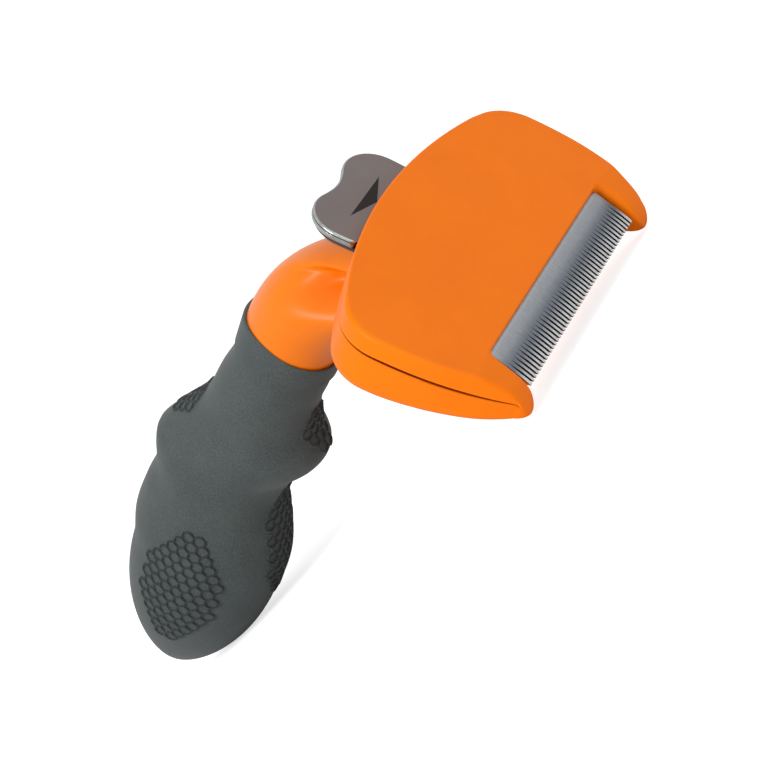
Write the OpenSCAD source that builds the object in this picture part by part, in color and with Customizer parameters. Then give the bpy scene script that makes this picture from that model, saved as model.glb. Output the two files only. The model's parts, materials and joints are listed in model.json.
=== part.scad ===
// Deshedding tool: comb blade head with a push-button hair ejector, elbow neck and soft grip.
// Every piece is modelled in the head frame: +X along the blade, +Y (depth) away from the face,
// +Z (height) from the teeth towards the button, with the lip of the face at height 0.
// place() lays that frame down once, so the guard tips and the palm bulb touch z = 0.

/* [Head] */
// Full width of the head near its rear corners
head_w = 94.6; // [80:0.2:112]
// Length of the front face from the lip to the rear edge, at the middle
face_len = 39.1; // [34:0.1:46]
// Depth of the head from the front face to the back
head_t = 16.5; // [16.3:0.1:21]
// Depth of the parting line between the two shells
seam_y = 5.7; // [5.5:0.1:8.2]
// Wall thickness of both shells
wall = 1.8; // [1.6:0.1:2.4]
// Length of the two guards past the lip
guard_len = 13.6; // [11:0.1:16]

/* [Blade] */
// Toothed edge length
blade_w = 67; // [55:0.5:72]
// Number of gaps between the teeth
gap_n = 47; // [40:1:56]
// Width of one gap
gap_w = 0.66; // [0.4:0.02:0.8]
// How far the tooth tips stand past the lip
tooth_out = 10.8; // [9:0.1:12]
// Blade plate thickness
blade_t = 3.4; // [2.8:0.1:3.6]

/* [Ejector] */
// Travel of the push button
travel = 8; // [5:0.5:8.2]
// Half width of the heart button
button_hw = 16.2; // [13:0.1:16.4]
// Height of the button's lobes over the lip
button_top = 51.6; // [50:0.1:54]
// Coils in each return spring
coil_n = 9; // [6:1:11]

/* [Handle] */
// Depth of the handle's far end behind the face
handle_end = 165; // [150:1:200]
// Height of the handle's centre line over the lip
handle_z = 49; // [46:0.5:52]
// Neck radius at the collar
neck_r = 12.2; // [10.5:0.1:15]
// Bend angle of the neck elbow
neck_bend = 50; // [44:1:54]
// Radius of the hard core inside the soft grip
core_r = 7.6; // [7:0.1:8.2]

/* [Hidden] */
$fn = 64;
// clearances: shaft in a fixed hole, shaft in a sliding hole, sliding faces, free space
fit = 0.05;
running = 0.08;
slide_gap = 0.35;
free_gap = 0.4;
far = 60;

// head outline, seen from the front
mouth_hw = blade_w / 2 + 0.9;
tip_r = 3;
tip_x = mouth_hw + 0.5 + tip_r;
tip_z = -guard_len + tip_r;
rear_r = 115;
corner_r = 11.4;
corner_x = head_w / 2 - corner_r;
corner_z = face_len - rear_r + sqrt(pow(rear_r - corner_r, 2) - corner_x * corner_x);
side_bow = 2.3;
// head outline, seen from the side: round guard tips and a round back edge
guard_y = 8.4;
guard_r = 3.1;
guard_z = -guard_len + guard_r;
back_r = 7;
cavity_z = 2.2;
mouth_back = 11.3;
mouth_top = 3;

// blade stack, counted in depth behind the face
blade_y = 1.6;
blade_back = blade_y + blade_t;
blade_top = 10;
bevel_z = -0.6;
tooth_t = 0.5;
gap_top = -4.4;
peg_spot = [20, 5];
peg_r = 1.45;
clamp_t = 1.4;
clamp_back = blade_back + clamp_t;
clamp_low = 4.6;
clamp_top = 20;
clamp_spot = [24, 14.5];

// button stack: cap, tongue of the carriage in the groove, base
cap_y = 4.4;
cap_t = 2.2;
tongue_t = 1;
base_y = cap_y + cap_t + tongue_t;
base_t = 1.9;
base_back = base_y + base_t;
carriage_y = cap_y + cap_t + 0.2;
carriage_hw = 14.5;
carriage_top = 33.8;
stem_hw = 14;
lobe_r = 7.6;
notch_z = button_top - 1.55;
base_inset = 2;
heart_low = face_len - 1.3;
groove = 1.1;
button_spot = [6.5, 42];

// hair pusher
pusher_y = blade_back + slide_gap;
pusher_t = 0.95;
pusher_low = -3.6;
pusher_top = 3.4;
web_low = 1.6;
tab_t = 1.4;
tab_spot = [10, 13.5];

// return springs on guide pins, between the ribs and the crossbar
pin_x = 26;
pin_y = 11.2;
pin_r = 1.2;
rib_hw = 3.6;
rib_y = pin_y - 2.2;
rib_low = 6;
spring_low = 9;
cross_z = 27.5;
cross_t = 3.5;
cross_back = 13.1;
top_rib_z = cross_z + cross_t + 1.6;
pin_low = 5.2;
pin_top = top_rib_z + 1.8;
coil_r = 2.3;
wire_r = 0.35;
rail_x = carriage_hw + 0.3;
bumper_x = 17.4;
bumper_w = 4;

// screws
case_spots = [[38.2, 25.5], [37.2, 7.5]];
case_seat = 14;
neck_spots = [[-6.5, 18], [6.5, 18], [0, 26]];
neck_pad = head_t - wall + 0.3;
screw_r = 1.4;
small_r = 1.1;
head_r = 2.6;
head_h = 1.4;

// elbow, tang and hard core
elbow_r = 28;
elbow_y = 50;
neck_front = 10.9;
core_start = 56;
core_end = handle_end - 12;
tang_r = core_r - 2.7;
tang_end = 86;
collar_tilt = 16.7;
collar_y = 48.2;
core_wall = 3.2;
pocket = [92, 10, 7];
core_spots = [74, 89.5, core_end - 4];

// grip stations as [depth, front height, rear height, half width]: collar, waist, finger flare,
// thumb flare, notch, palm and widest point of the bulb
grip_stations = [
    [42, -12.1, 11.6, 12.4],
    [58, -11.5, 12.3, 13],
    [66, -10.9, 13.8, 13.2],
    [74, -12.6, 15, 13.6],
    [78, -16.4, 16.3, 14],
    [84, -16.3, 19.8, 14.6],
    [91, -11.4, 24.2, 15.1],
    [94, -10.2, 24.1, 15.3],
    [100, -10.1, 22, 15.9],
    [108, -12.9, 21.9, 16.9],
    [117, -15.2, 23.1, 17.7],
    [126, -15.3, 22.5, 18]
];
bulb_start = 126;
bulb_len = 39;
bulb_round = 0.72;
bulb_front = 3.5;
bulb_rear = 3.6;
handle_k = handle_end / (bulb_start + bulb_len);
ring_n = 52;
neck_ring_n = 48;

orange = [0.957, 0.482, 0.125];
grip_grey = [0.31, 0.345, 0.345];
steel = [0.66, 0.67, 0.69];
dark_steel = [0.42, 0.43, 0.45];
button_grey = [0.46, 0.44, 0.44];
acetal = [0.9, 0.9, 0.87];
black = [0.12, 0.12, 0.12];

// ---- outlines ----

// height of the rear edge at a distance x from the middle
function rear_z(x) = face_len - (rear_r - sqrt(rear_r * rear_r - x * x));

// half width of the head at height z, narrowing towards the guards
function side_x(z) =
    let (share = min(1, max(0, z - tip_z) / (corner_z - tip_z)))
        tip_x + tip_r + (head_w / 2 - tip_x - tip_r) * (1 - pow(1 - share, side_bow));

// rear corner and rear edge up to the middle, a distance inset inside the outline
function rear_edge(inset) = concat(
    [for (a = [10:10:70])
        [corner_x + (corner_r - inset) * cos(a), corner_z + (corner_r - inset) * sin(a)]],
    [for (i = [1:10]) let (x = corner_x * (1 - i / 10)) [x, rear_z(x) - inset]]
);

// one side of the head, from the inner foot of a guard round to the middle of the rear edge
function half_outline() = concat(
    [[mouth_hw, 0]],
    [for (a = [180:15:360]) [tip_x + tip_r * cos(a), tip_z + tip_r * sin(a)]],
    [for (i = [1:16]) let (z = tip_z + (corner_z - tip_z) * pow(i / 16, 1.6)) [side_x(z), z]],
    rear_edge(0)
);

// inside of the shells, one wall in from the outline and above the mouth
function half_cavity() = concat(
    [for (i = [0:8]) let (z = cavity_z + (corner_z - cavity_z) * i / 8) [side_x(z) - wall, z]],
    rear_edge(wall)
);

// the half outline and its mirror image, as one closed outline
function both_halves(half) = concat(
    half,
    [for (i = [len(half) - 1:-1:0]) if (half[i][0] > 0.001) [-half[i][0], half[i][1]]]
);

// side view of the head as [depth, height], a distance inset inside the outside
function side_view(inset) = concat(
    [[inset, face_len + 6], [inset, 0], [0.5 + inset, -3], [1.6 + inset, -6.6]],
    [[2.9 + inset, -9.4], [4.6 + inset, -11.8]],
    [for (a = [205:22:337]) [guard_y + guard_r * cos(a), guard_z + guard_r * sin(a)]],
    [[12.2 - inset, -8], [13.4 - inset, -4], [head_t - 3.1 - inset, 0.5]],
    [[head_t - 1.7 - inset, 5.5], [head_t - 0.6 - inset, 12], [head_t - inset, 18]],
    [for (a = [0:10:90])
        [head_t - back_r + (back_r - inset) * cos(a),
         face_len - back_r + (back_r - inset) * sin(a)]]
);

// cross view of one side of the head as [width, depth], with the long back edge rounded
function half_cross(inset) = concat(
    [[head_w / 2 + 1, inset], [head_w / 2 + 0.4 - inset, back_r]],
    [for (a = [0:10:90])
        [head_w / 2 - back_r + (back_r + 0.4 - inset) * cos(a),
         head_t - back_r + (back_r - inset) * sin(a)]]
);

// smooth curve through column c of the grip stations
function station_slope(i, c) =
    (i == 0 || i == len(grip_stations) - 1) ? 0 :
    (grip_stations[i + 1][c] - grip_stations[i - 1][c])
        / (grip_stations[i + 1][0] - grip_stations[i - 1][0]);
function station(y, c) =
    let (
        i = max([for (k = [0:len(grip_stations) - 2]) if (grip_stations[k][0] <= y) k]),
        a = grip_stations[i],
        b = grip_stations[i + 1],
        w = b[0] - a[0],
        t = (y - a[0]) / w
    )
        (1 + 2 * t) * pow(1 - t, 2) * a[c] + t * t * (3 - 2 * t) * b[c]
        + t * pow(1 - t, 2) * w * station_slope(i, c)
        - t * t * (1 - t) * w * station_slope(i + 1, c);

// rings of the grip: the stations' curve, then a dome over the end of the bulb
grip_rings = concat(
    [for (y = [42:2.4:124]) [y, station(y, 1), station(y, 2), station(y, 3)]],
    [for (i = [0:13])
        let (t = sin(i * 6.8), k = pow(1 - t * t, bulb_round), s = grip_stations[11])
            [
                bulb_start + bulb_len * t,
                bulb_front + (s[1] - bulb_front) * k,
                bulb_rear + (s[2] - bulb_rear) * k,
                s[3] * k
            ]]
);

// side walls and two caps of a loft with the given number of rings and sides
function loft_faces(rings, sides) = concat(
    [[for (i = [sides - 1:-1:0]) i]],
    [for (k = [0:rings - 2])
        for (i = [0:sides - 1])
            let (a = k * sides + i, b = k * sides + (i + 1) % sides)
                [a, b, b + sides, a + sides]],
    [[for (i = [0:sides - 1]) (rings - 1) * sides + i]]
);

// ---- lying pose: the round guard tips and the front of the bulb share one tangent line ----

rest_tilt = min([
    for (g = grip_rings)
        let (dy = g[0] * handle_k - guard_y, dz = handle_z + g[1] - guard_z)
            atan2(dz, dy) + asin(guard_r / norm([dy, dz]))
]);
floor_z = -guard_y * sin(rest_tilt) + guard_z * cos(rest_tilt) - guard_r;
near_y = min([for (p = side_view(0)) p[0] * cos(rest_tilt) + min(p[1], 36) * sin(rest_tilt)]);
far_y = max([
    for (g = grip_rings)
        for (h = [g[1], g[2]])
            g[0] * handle_k * cos(rest_tilt) + (handle_z + h) * sin(rest_tilt)
]);

// ---- shared shapes ----

// stands a shape drawn as [width, height] up in the head frame between two depths
module standing(y0, y1) {
    translate([0, y1, 0])
        rotate([90, 0, 0])
            linear_extrude(height = y1 - y0)
                children();
}

// sweeps a shape drawn as [depth, height] sideways over a width centred on the middle
module sideways(width) {
    translate([-width / 2, 0, 0])
        rotate([90, 0, 90])
            linear_extrude(height = width)
                children();
}

// a round bar along the depth axis at a spot given as [x, height]
module bar_y(spot, y0, y1, r) {
    translate([spot[0], y1, spot[1]])
        rotate([90, 0, 0])
            cylinder(h = y1 - y0, r = r);
}

// a round bar along the handle's centre line
module bar_handle(y0, y1, r) {
    bar_y([0, handle_z], y0, y1, r);
}

// a round bar across the handle's centre line
module bar_across(y, length, r) {
    translate([-length / 2, y, handle_z])
        rotate([0, 90, 0])
            cylinder(h = length, r = r);
}

module both_sides() {
    children();
    mirror([1, 0, 0])
        children();
}

module block(low, high) {
    translate(low)
        cube(high - low);
}

// ---- head ----

// the head's outline, side view and cross view, all a distance inset inside the outside
module head_form(inset) {
    intersection() {
        standing(inset, head_t)
            polygon(both_halves(inset > 0 ? half_cavity() : half_outline()));
        sideways(2 * far)
            polygon(side_view(inset));
        translate([0, 0, -far / 2])
            linear_extrude(height = 2 * far)
                polygon(both_halves(half_cross(inset)));
    }
}

// hollow of the whole head, with the pocket that the blade and its clamp lie in
module head_cavity() {
    head_form(wall);
    block(
        [-side_x(4) + wall, blade_y, mouth_top - 0.3],
        [side_x(4) - wall, clamp_back, face_len - 9]
    );
}

// open mouth between the guards
module mouth() {
    block([-mouth_hw, blade_y, -far], [mouth_hw, mouth_back, mouth_top]);
}

// window in the rear edge that the button slides through
module button_window() {
    block(
        [-button_hw - 0.6, cap_y - free_gap, heart_low - travel],
        [button_hw + 0.6, base_back + free_gap, far]
    );
}

// the hollow head between two depths
module head_slice(y0, y1) {
    difference() {
        intersection() {
            head_form(0);
            block([-far, y0, -far], [far, y1, far]);
        }
        head_cavity();
        mouth();
    }
}

module front_shell() {
    color(orange)
    difference() {
        union() {
            head_slice(-1, seam_y);
            both_sides() {
                for (spot = case_spots)
                    bar_y(spot, 1, seam_y, 2 * screw_r);
                bar_y(clamp_spot, 1, blade_back, 2 * screw_r);
                bar_y(peg_spot, 1, blade_back - 0.1, peg_r);
            }
        }
        button_window();
        both_sides() {
            for (spot = case_spots)
                bar_y(spot, 2.4, seam_y + 1, screw_r + fit);
            bar_y(clamp_spot, 2, blade_back + 1, screw_r - 0.15 + fit);
        }
    }
}

// bosses and spring ribs inside the rear shell, trimmed to the head
module rear_fittings() {
    intersection() {
        head_form(0);
        union() {
            both_sides() {
                for (spot = case_spots)
                    bar_y(spot, seam_y, head_t, head_r + 0.6);
                block(
                    [pin_x - rib_hw, rib_y, rib_low],
                    [pin_x + rib_hw, head_t - 1, spring_low]
                );
                block(
                    [pin_x - rib_hw, rib_y, top_rib_z],
                    [pin_x + rib_hw, head_t - 1, face_len - 1]
                );
            }
        }
    }
}

module rear_shell() {
    color(orange)
    difference() {
        union() {
            head_slice(seam_y, head_t + 1);
            rear_fittings();
        }
        button_window();
        both_sides() {
            for (spot = case_spots) {
                bar_y(spot, seam_y - 1, head_t + 1, screw_r + fit);
                bar_y(spot, case_seat, head_t + 1, head_r + 0.1);
            }
            translate([pin_x, pin_y, pin_low - 0.2])
                cylinder(h = pin_top + 0.2 - pin_low + 0.2, r = pin_r + fit);
        }
        for (spot = neck_spots) {
            bar_y(spot, neck_pad - 1, head_t + 1, screw_r + fit);
            bar_y(spot, neck_pad - head_h, neck_pad, head_r + fit);
        }
    }
}

module case_screws() {
    color(dark_steel)
    both_sides()
        for (spot = case_spots) {
            bar_y(spot, 3, case_seat + 0.1, screw_r);
            bar_y(spot, case_seat, case_seat + head_h, head_r);
        }
}

// ---- neck and handle ----

// neck stations as [distance before the elbow, angle left to turn, half width, half depth]
neck_stations = concat(
    [[26, neck_bend, 15.5, neck_r + 0.8], [16, neck_bend, 15.2, neck_r + 0.8]],
    [[8, neck_bend, 14, neck_r + 0.7]],
    [for (i = [0:10])
        [0, neck_bend * (1 - i / 10), neck_r + 1 - i * 0.1, neck_r + 0.6 - i * 0.06]],
    [[elbow_y - core_start, 0, neck_r, neck_r]]
);
neck_points = [
    for (g = neck_stations)
        let (
            y = elbow_y - elbow_r * sin(g[1]) - g[0] * cos(g[1]),
            z = handle_z - elbow_r * (1 - cos(g[1])) - g[0] * sin(g[1])
        )
        for (i = [0:neck_ring_n - 1])
            let (t = 360 * i / neck_ring_n)
                [g[2] * cos(t), y - g[3] * sin(t) * sin(g[1]), z + g[3] * sin(t) * cos(g[1])]
];
grip_points = [
    for (g = grip_rings)
        for (i = [0:ring_n - 1])
            let (a = 360 * i / ring_n, mid = (g[1] + g[2]) / 2, half = (g[2] - g[1]) / 2)
                [g[3] * cos(a), g[0] * handle_k, handle_z + mid + half * sin(a)]
];

module neck() {
    color(orange)
    difference() {
        union() {
            difference() {
                polyhedron(points = neck_points, faces = loft_faces(len(neck_stations), neck_ring_n));
                sideways(far)
                    polygon(side_view(0));
                block([-far, -far, -far], [far, neck_front, 2 * far]);
            }
            bar_handle(core_start - 1, tang_end, tang_r);
        }
        for (spot = neck_spots)
            bar_y(spot, head_t - 1, head_t + 7, screw_r + fit);
        bar_across(core_spots[0], far, screw_r + 0.1);
    }
}

module neck_screws() {
    color(dark_steel)
    for (spot = neck_spots) {
        bar_y(spot, neck_pad - 1, head_t + 6, screw_r);
        bar_y(spot, neck_pad - head_h, neck_pad, head_r);
    }
}

module grip_sleeve() {
    color(grip_grey)
    difference() {
        polyhedron(points = grip_points, faces = loft_faces(len(grip_rings), ring_n));
        bar_handle(30, core_end, core_r + fit);
        bar_handle(30, core_start, neck_r + fit);
        translate([0, collar_y, handle_z])
            rotate([collar_tilt, 0, 0])
                block([-far / 2, -far / 2, -far / 2], [far / 2, 0, far / 2]);
    }
}

// one half of the hard core, split on the middle plane, with pockets and screw holes
module core_half() {
    difference() {
        intersection() {
            bar_handle(core_start, core_end, core_r);
            block([0, 0, 0], [far, handle_end, 2 * far]);
        }
        bar_handle(core_start - 1, tang_end + 0.2, tang_r + fit);
        for (y = [pocket[0]:pocket[1]:core_end - 10])
            block(
                [-1, y, handle_z - core_r + core_wall - 0.2],
                [core_r - core_wall, y + pocket[2], handle_z + core_r - core_wall + 0.2]
            );
        for (y = core_spots)
            bar_across(y, 2 * core_r + 2, screw_r + fit);
    }
}

module handle_core_left() {
    color(black)
    mirror([1, 0, 0])
        core_half();
}

module handle_core_right() {
    color(black)
    core_half();
}

module core_screws() {
    color(dark_steel)
    for (y = core_spots)
        bar_across(y, 2 * core_r - 4, screw_r);
}

// ---- blade ----

// section of the blade as [depth, height], hollow ground on its front towards the teeth
blade_section = concat(
    [[blade_y, blade_top]],
    [for (i = [0:6])
        let (t = i / 6)
            [
                blade_y + (blade_t - tooth_t) * pow(t, 0.9),
                bevel_z - (tooth_out + bevel_z) * t
            ]],
    [[blade_back - 0.05, -tooth_out], [blade_back, -tooth_out + 1.8], [blade_back, blade_top]]
);

module comb_blade() {
    pitch = blade_w / (gap_n + 1 - gap_w / 2);
    color(steel)
    difference() {
        sideways(blade_w)
            polygon(blade_section);
        for (i = [1:gap_n])
            block(
                [(i - (gap_n + 1) / 2) * pitch - gap_w / 2, 0, -tooth_out - 1],
                [(i - (gap_n + 1) / 2) * pitch + gap_w / 2, 9, gap_top]
            );
        both_sides()
            bar_y(peg_spot, 0, 9, peg_r + fit);
    }
}

module blade_clamp() {
    color(dark_steel)
    difference() {
        block([-blade_w / 2, blade_back, clamp_low], [blade_w / 2, clamp_back, clamp_top]);
        both_sides()
            bar_y(clamp_spot, 0, 12, screw_r - 0.05);
    }
}

module blade_screws() {
    color(dark_steel)
    both_sides() {
        bar_y(clamp_spot, 2.2, clamp_back + 0.1, screw_r - 0.15);
        bar_y(clamp_spot, clamp_back, clamp_back + 1.2, head_r - 0.3);
    }
}

// ---- ejector ----

// heart outline grown by g, between two depths, cut off where it enters the head
module heart(g, y0, y1) {
    lobe = [button_hw - lobe_r, button_top - lobe_r];
    intersection() {
        union() {
            both_sides()
                bar_y(lobe, y0, y1, lobe_r + g);
            block([-button_hw - g, y0, heart_low], [button_hw + g, y1, lobe[1]]);
            block([-lobe[0], y0, heart_low], [lobe[0], y1, notch_z + g]);
        }
        block([-far, 0, heart_low], [far, head_t, button_top + 5]);
    }
}

module button_cap() {
    color(button_grey)
    difference() {
        union() {
            heart(0, cap_y, cap_y + cap_t);
            block([-stem_hw, cap_y, 30], [stem_hw, cap_y + cap_t, face_len]);
        }
        both_sides()
            bar_y(button_spot, cap_y + 0.8, base_y + 1, small_r + fit);
    }
}

module button_base() {
    color(button_grey)
    difference() {
        union() {
            heart(-base_inset, base_y, base_back);
            block([-stem_hw, base_y, carriage_top], [stem_hw, base_back, face_len]);
        }
        both_sides() {
            bar_y(button_spot, 0, head_t, small_r + fit);
            bar_y(button_spot, base_back - 1, head_t, head_r - 0.5);
        }
    }
}

module button_screws() {
    color(dark_steel)
    both_sides() {
        bar_y(button_spot, cap_y + 0.9, base_back - 0.9, small_r);
        bar_y(button_spot, base_back - 1, base_back - 0.1, head_r - 0.5 - fit);
    }
}

// stem behind the button, tongue in its groove and crossbar for the springs, all one moulding
module ejector_carriage() {
    color(black)
    difference() {
        union() {
            block([-carriage_hw, carriage_y, 10], [carriage_hw, base_back, carriage_top]);
            block([-12, cap_y + cap_t, 29], [12, base_y, 40]);
            heart(-groove, cap_y + cap_t, base_y);
            block(
                [-pin_x - rib_hw + 0.2, base_back, cross_z],
                [pin_x + rib_hw - 0.2, cross_back, cross_z + cross_t]
            );
        }
        both_sides() {
            bar_y(tab_spot, 0, head_t, small_r + fit);
            bar_y(button_spot, 0, head_t, small_r + fit);
            translate([pin_x, pin_y, cross_z - 1])
                cylinder(h = cross_t + 2, r = pin_r + running);
        }
    }
}

// hair pusher that slides down the back of the teeth, with tabs up to the carriage
module ejector_plate() {
    tab_back = base_back + tab_t;
    color(button_grey)
    difference() {
        union() {
            block(
                [-blade_w / 2 + 0.5, pusher_y, pusher_low],
                [blade_w / 2 - 0.5, pusher_y + pusher_t, pusher_top]
            );
            block([-stem_hw, pusher_y + 0.05, web_low], [stem_hw, tab_back, pusher_top]);
            both_sides()
                block([6, base_back, web_low], [stem_hw, tab_back, 17]);
        }
        both_sides()
            bar_y(tab_spot, 0, head_t, small_r + fit);
    }
}

module ejector_screws() {
    color(dark_steel)
    both_sides() {
        bar_y(tab_spot, carriage_y + 0.6, base_back + tab_t + 0.1, small_r);
        bar_y(tab_spot, base_back + tab_t, base_back + tab_t + 1, head_r - 0.6);
    }
}

// round wire helix standing on z = 0, closed at both ends
module helix(height, coils) {
    steps = coils * 20;
    side = 8;
    rise = height - 2 * wire_r;
    points = [
        for (k = [0:steps])
            for (j = [0:side - 1])
                let (t = 360 * k / 20, a = 360 * j / side, r = coil_r + wire_r * cos(a))
                    [r * cos(t), r * sin(t), wire_r + rise * k / steps + wire_r * sin(a)]
    ];
    polyhedron(points = points, faces = loft_faces(steps + 1, side));
}

module return_spring() {
    color(steel)
    translate([pin_x, pin_y, spring_low])
        helix(cross_z - spring_low, coil_n);
}

module return_spring_left() {
    mirror([1, 0, 0])
        return_spring();
}

module return_spring_right() {
    return_spring();
}

module spring_pin() {
    color(steel)
    translate([pin_x, pin_y, pin_low])
        cylinder(h = pin_top - pin_low, r = pin_r);
}

module spring_pin_left() {
    mirror([1, 0, 0])
        spring_pin();
}

module spring_pin_right() {
    spring_pin();
}

module guide_rail() {
    color(acetal)
    block([rail_x, blade_y, clamp_top + free_gap], [rail_x + 2.2, 9, heart_low - travel - 0.4]);
}

module guide_rail_left() {
    mirror([1, 0, 0])
        guide_rail();
}

module guide_rail_right() {
    guide_rail();
}

module stop_bumpers() {
    color(black)
    both_sides()
        intersection() {
            block(
                [bumper_x, pin_y - 1.2, cross_z + cross_t + fit],
                [bumper_x + bumper_w, cross_back - 0.2, face_len]
            );
            standing(0, head_t)
                polygon(both_halves(half_cavity()));
        }
}

// ---- assembly ----

// lays the head frame down on z = 0 and centres it over its footprint
module place() {
    translate([0, -(near_y + far_y) / 2, -floor_z])
        rotate([-rest_tilt, 0, 0])
            children();
}

place() {
    front_shell();
    rear_shell();
    neck();
    grip_sleeve();
    handle_core_left();
    handle_core_right();
    core_screws();
    comb_blade();
    blade_clamp();
    blade_screws();
    ejector_plate();
    ejector_screws();
    ejector_carriage();
    button_cap();
    button_base();
    button_screws();
    return_spring_left();
    return_spring_right();
    spring_pin_left();
    spring_pin_right();
    guide_rail_left();
    guide_rail_right();
    stop_bumpers();
    case_screws();
    neck_screws();
}
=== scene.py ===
"""Looks of the deshedding tool: orange head, ground comb blade, heart button and soft grip.

Every sub-assembly is a class that holds its sizes in millimetres in the head's own frame:
+X along the comb edge, +Y (depth) away from the flat face and +Z (height) from the teeth
towards the button, with the lip of the face at height 0. The class HeadFrame lays that frame
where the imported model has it.
"""

import json
import logging
import math
from dataclasses import dataclass, field
from enum import Enum
from typing import Any, Callable, Iterator, Optional, Sequence

import bmesh
import bpy
from mathutils import Matrix, Vector


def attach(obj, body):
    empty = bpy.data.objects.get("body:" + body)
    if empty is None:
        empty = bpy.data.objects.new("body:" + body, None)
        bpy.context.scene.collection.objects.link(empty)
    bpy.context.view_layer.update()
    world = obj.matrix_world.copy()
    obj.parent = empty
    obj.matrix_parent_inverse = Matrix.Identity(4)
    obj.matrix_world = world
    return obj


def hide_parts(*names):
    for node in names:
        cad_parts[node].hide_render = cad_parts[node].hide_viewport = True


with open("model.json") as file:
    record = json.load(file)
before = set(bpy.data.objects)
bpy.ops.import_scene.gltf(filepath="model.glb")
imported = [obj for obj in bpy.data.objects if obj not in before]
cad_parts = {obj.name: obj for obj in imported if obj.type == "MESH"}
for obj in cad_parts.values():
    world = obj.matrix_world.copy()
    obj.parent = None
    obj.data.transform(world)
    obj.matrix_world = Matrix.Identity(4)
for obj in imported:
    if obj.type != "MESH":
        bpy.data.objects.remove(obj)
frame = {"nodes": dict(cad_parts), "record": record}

LOG = logging.getLogger("deshedding_tool")
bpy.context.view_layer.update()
TOOL = "tool"
EJECTOR = "ejector"
MM = 0.001

Place = Callable[[int], Vector]
Surface = Callable[[float, float], Vector]


# ---- small sums ----


def smooth_step(low: float, high: float, value: float) -> float:
    """Blend from 0 at low to 1 at high.

    Args:
        low: value where the blend starts.
        high: value where the blend ends.
        value: where to read it.

    Returns:
        The blend, between 0 and 1.
    """
    t = min(1.0, max(0.0, (value - low) / (high - low)))
    return t * t * (3.0 - 2.0 * t)


def mix(a: float, b: float, t: float) -> float:
    """The value a share t of the way from a to b."""
    return a + (b - a) * t


def curve(stations: Sequence[Sequence[float]], column: int, at: float) -> float:
    """Read a smooth curve through one column of a list of stations.

    Args:
        stations: rows whose first entry is the position, in rising order.
        column: the entry to read.
        at: the position.

    Returns:
        The column's value at that position, held constant past the ends.
    """
    if at <= stations[0][0]:
        return stations[0][column]
    if at >= stations[-1][0]:
        return stations[-1][column]
    i = max(k for k, row in enumerate(stations[:-1]) if row[0] <= at)

    def slope(k: int) -> float:
        """Read the slope of the curve, flat at both ends.

        Args:
            k: number of the station.

        Returns:
            The slope at that station.
        """
        if k in (0, len(stations) - 1):
            return 0.0
        before, after = stations[k - 1], stations[k + 1]
        return (after[column] - before[column]) / (after[0] - before[0])

    width = stations[i + 1][0] - stations[i][0]
    t = (at - stations[i][0]) / width
    return (
        (1 + 2 * t) * (1 - t) ** 2 * stations[i][column]
        + t * t * (3 - 2 * t) * stations[i + 1][column]
        + t * (1 - t) ** 2 * width * slope(i)
        - t * t * (1 - t) * width * slope(i + 1)
    )


def straight(stations: Sequence[tuple[float, float]], at: float) -> float:
    """Read a broken line through a list of stations.

    Args:
        stations: pairs of position and value, in rising order of position.
        at: the position.

    Returns:
        The value at that position, held constant past the ends.
    """
    if at <= stations[0][0]:
        return stations[0][1]
    for (a, va), (b, vb) in zip(stations, stations[1:]):
        if at <= b:
            return mix(va, vb, (at - a) / (b - a))
    return stations[-1][1]


def arc(
    centre: tuple[float, float], radius: float, start: float, stop: float, steps: int
) -> list[tuple[float, float]]:
    """Points on an arc, both ends included.

    Args:
        centre: the arc's centre.
        radius: the arc's radius.
        start: angle of the first point, in degrees.
        stop: angle of the last point, in degrees.
        steps: number of steps between them.

    Returns:
        The points.
    """
    angles = [math.radians(start + (stop - start) * i / steps) for i in range(steps + 1)]
    return [
        (centre[0] + radius * math.cos(a), centre[1] + radius * math.sin(a)) for a in angles
    ]


# ---- where the head frame lies ----


class HeadFrame:
    """The head's own millimetre frame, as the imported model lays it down."""

    MOUNT_HEIGHT = 20.0

    def __init__(self, record: dict[str, Any]) -> None:
        """Read the slide's direction and the front face from the record.

        Args:
            record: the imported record.
        """
        down = Vector(record["behaviour"]["joints"][0]["axis"]).normalized()
        tilt = math.atan2(-down.y, -down.z)
        mount = next(m for m in record["mounts"] if m["name"] == "front_face")
        origin = Vector(mount["pos_m"]) + down * self.MOUNT_HEIGHT * MM
        self.turn = Matrix.Rotation(-tilt, 4, "X")
        self.matrix = Matrix.Translation(origin) @ self.turn @ Matrix.Scale(MM, 4)

    def point(self, x: float, y: float, z: float) -> Vector:
        """A head frame point in metres in the model's frame."""
        return self.matrix @ Vector((x, y, z))

    def direction(self, x: float, y: float, z: float) -> Vector:
        """A head frame direction in the model's frame."""
        return (self.turn.to_3x3() @ Vector((x, y, z))).normalized()


# ---- finishes ----


def colour(code: str) -> tuple[float, float, float, float]:
    """Turn an sRGB hex code into a linear colour.

    Args:
        code: hash sign and six hex digits.

    Returns:
        Linear red, green and blue, with full alpha.
    """
    parts = [int(code[i:i + 2], 16) / 255.0 for i in (1, 3, 5)]
    linear = [c / 12.92 if c <= 0.04045 else ((c + 0.055) / 1.055) ** 2.4 for c in parts]
    return (linear[0], linear[1], linear[2], 1.0)


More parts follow.
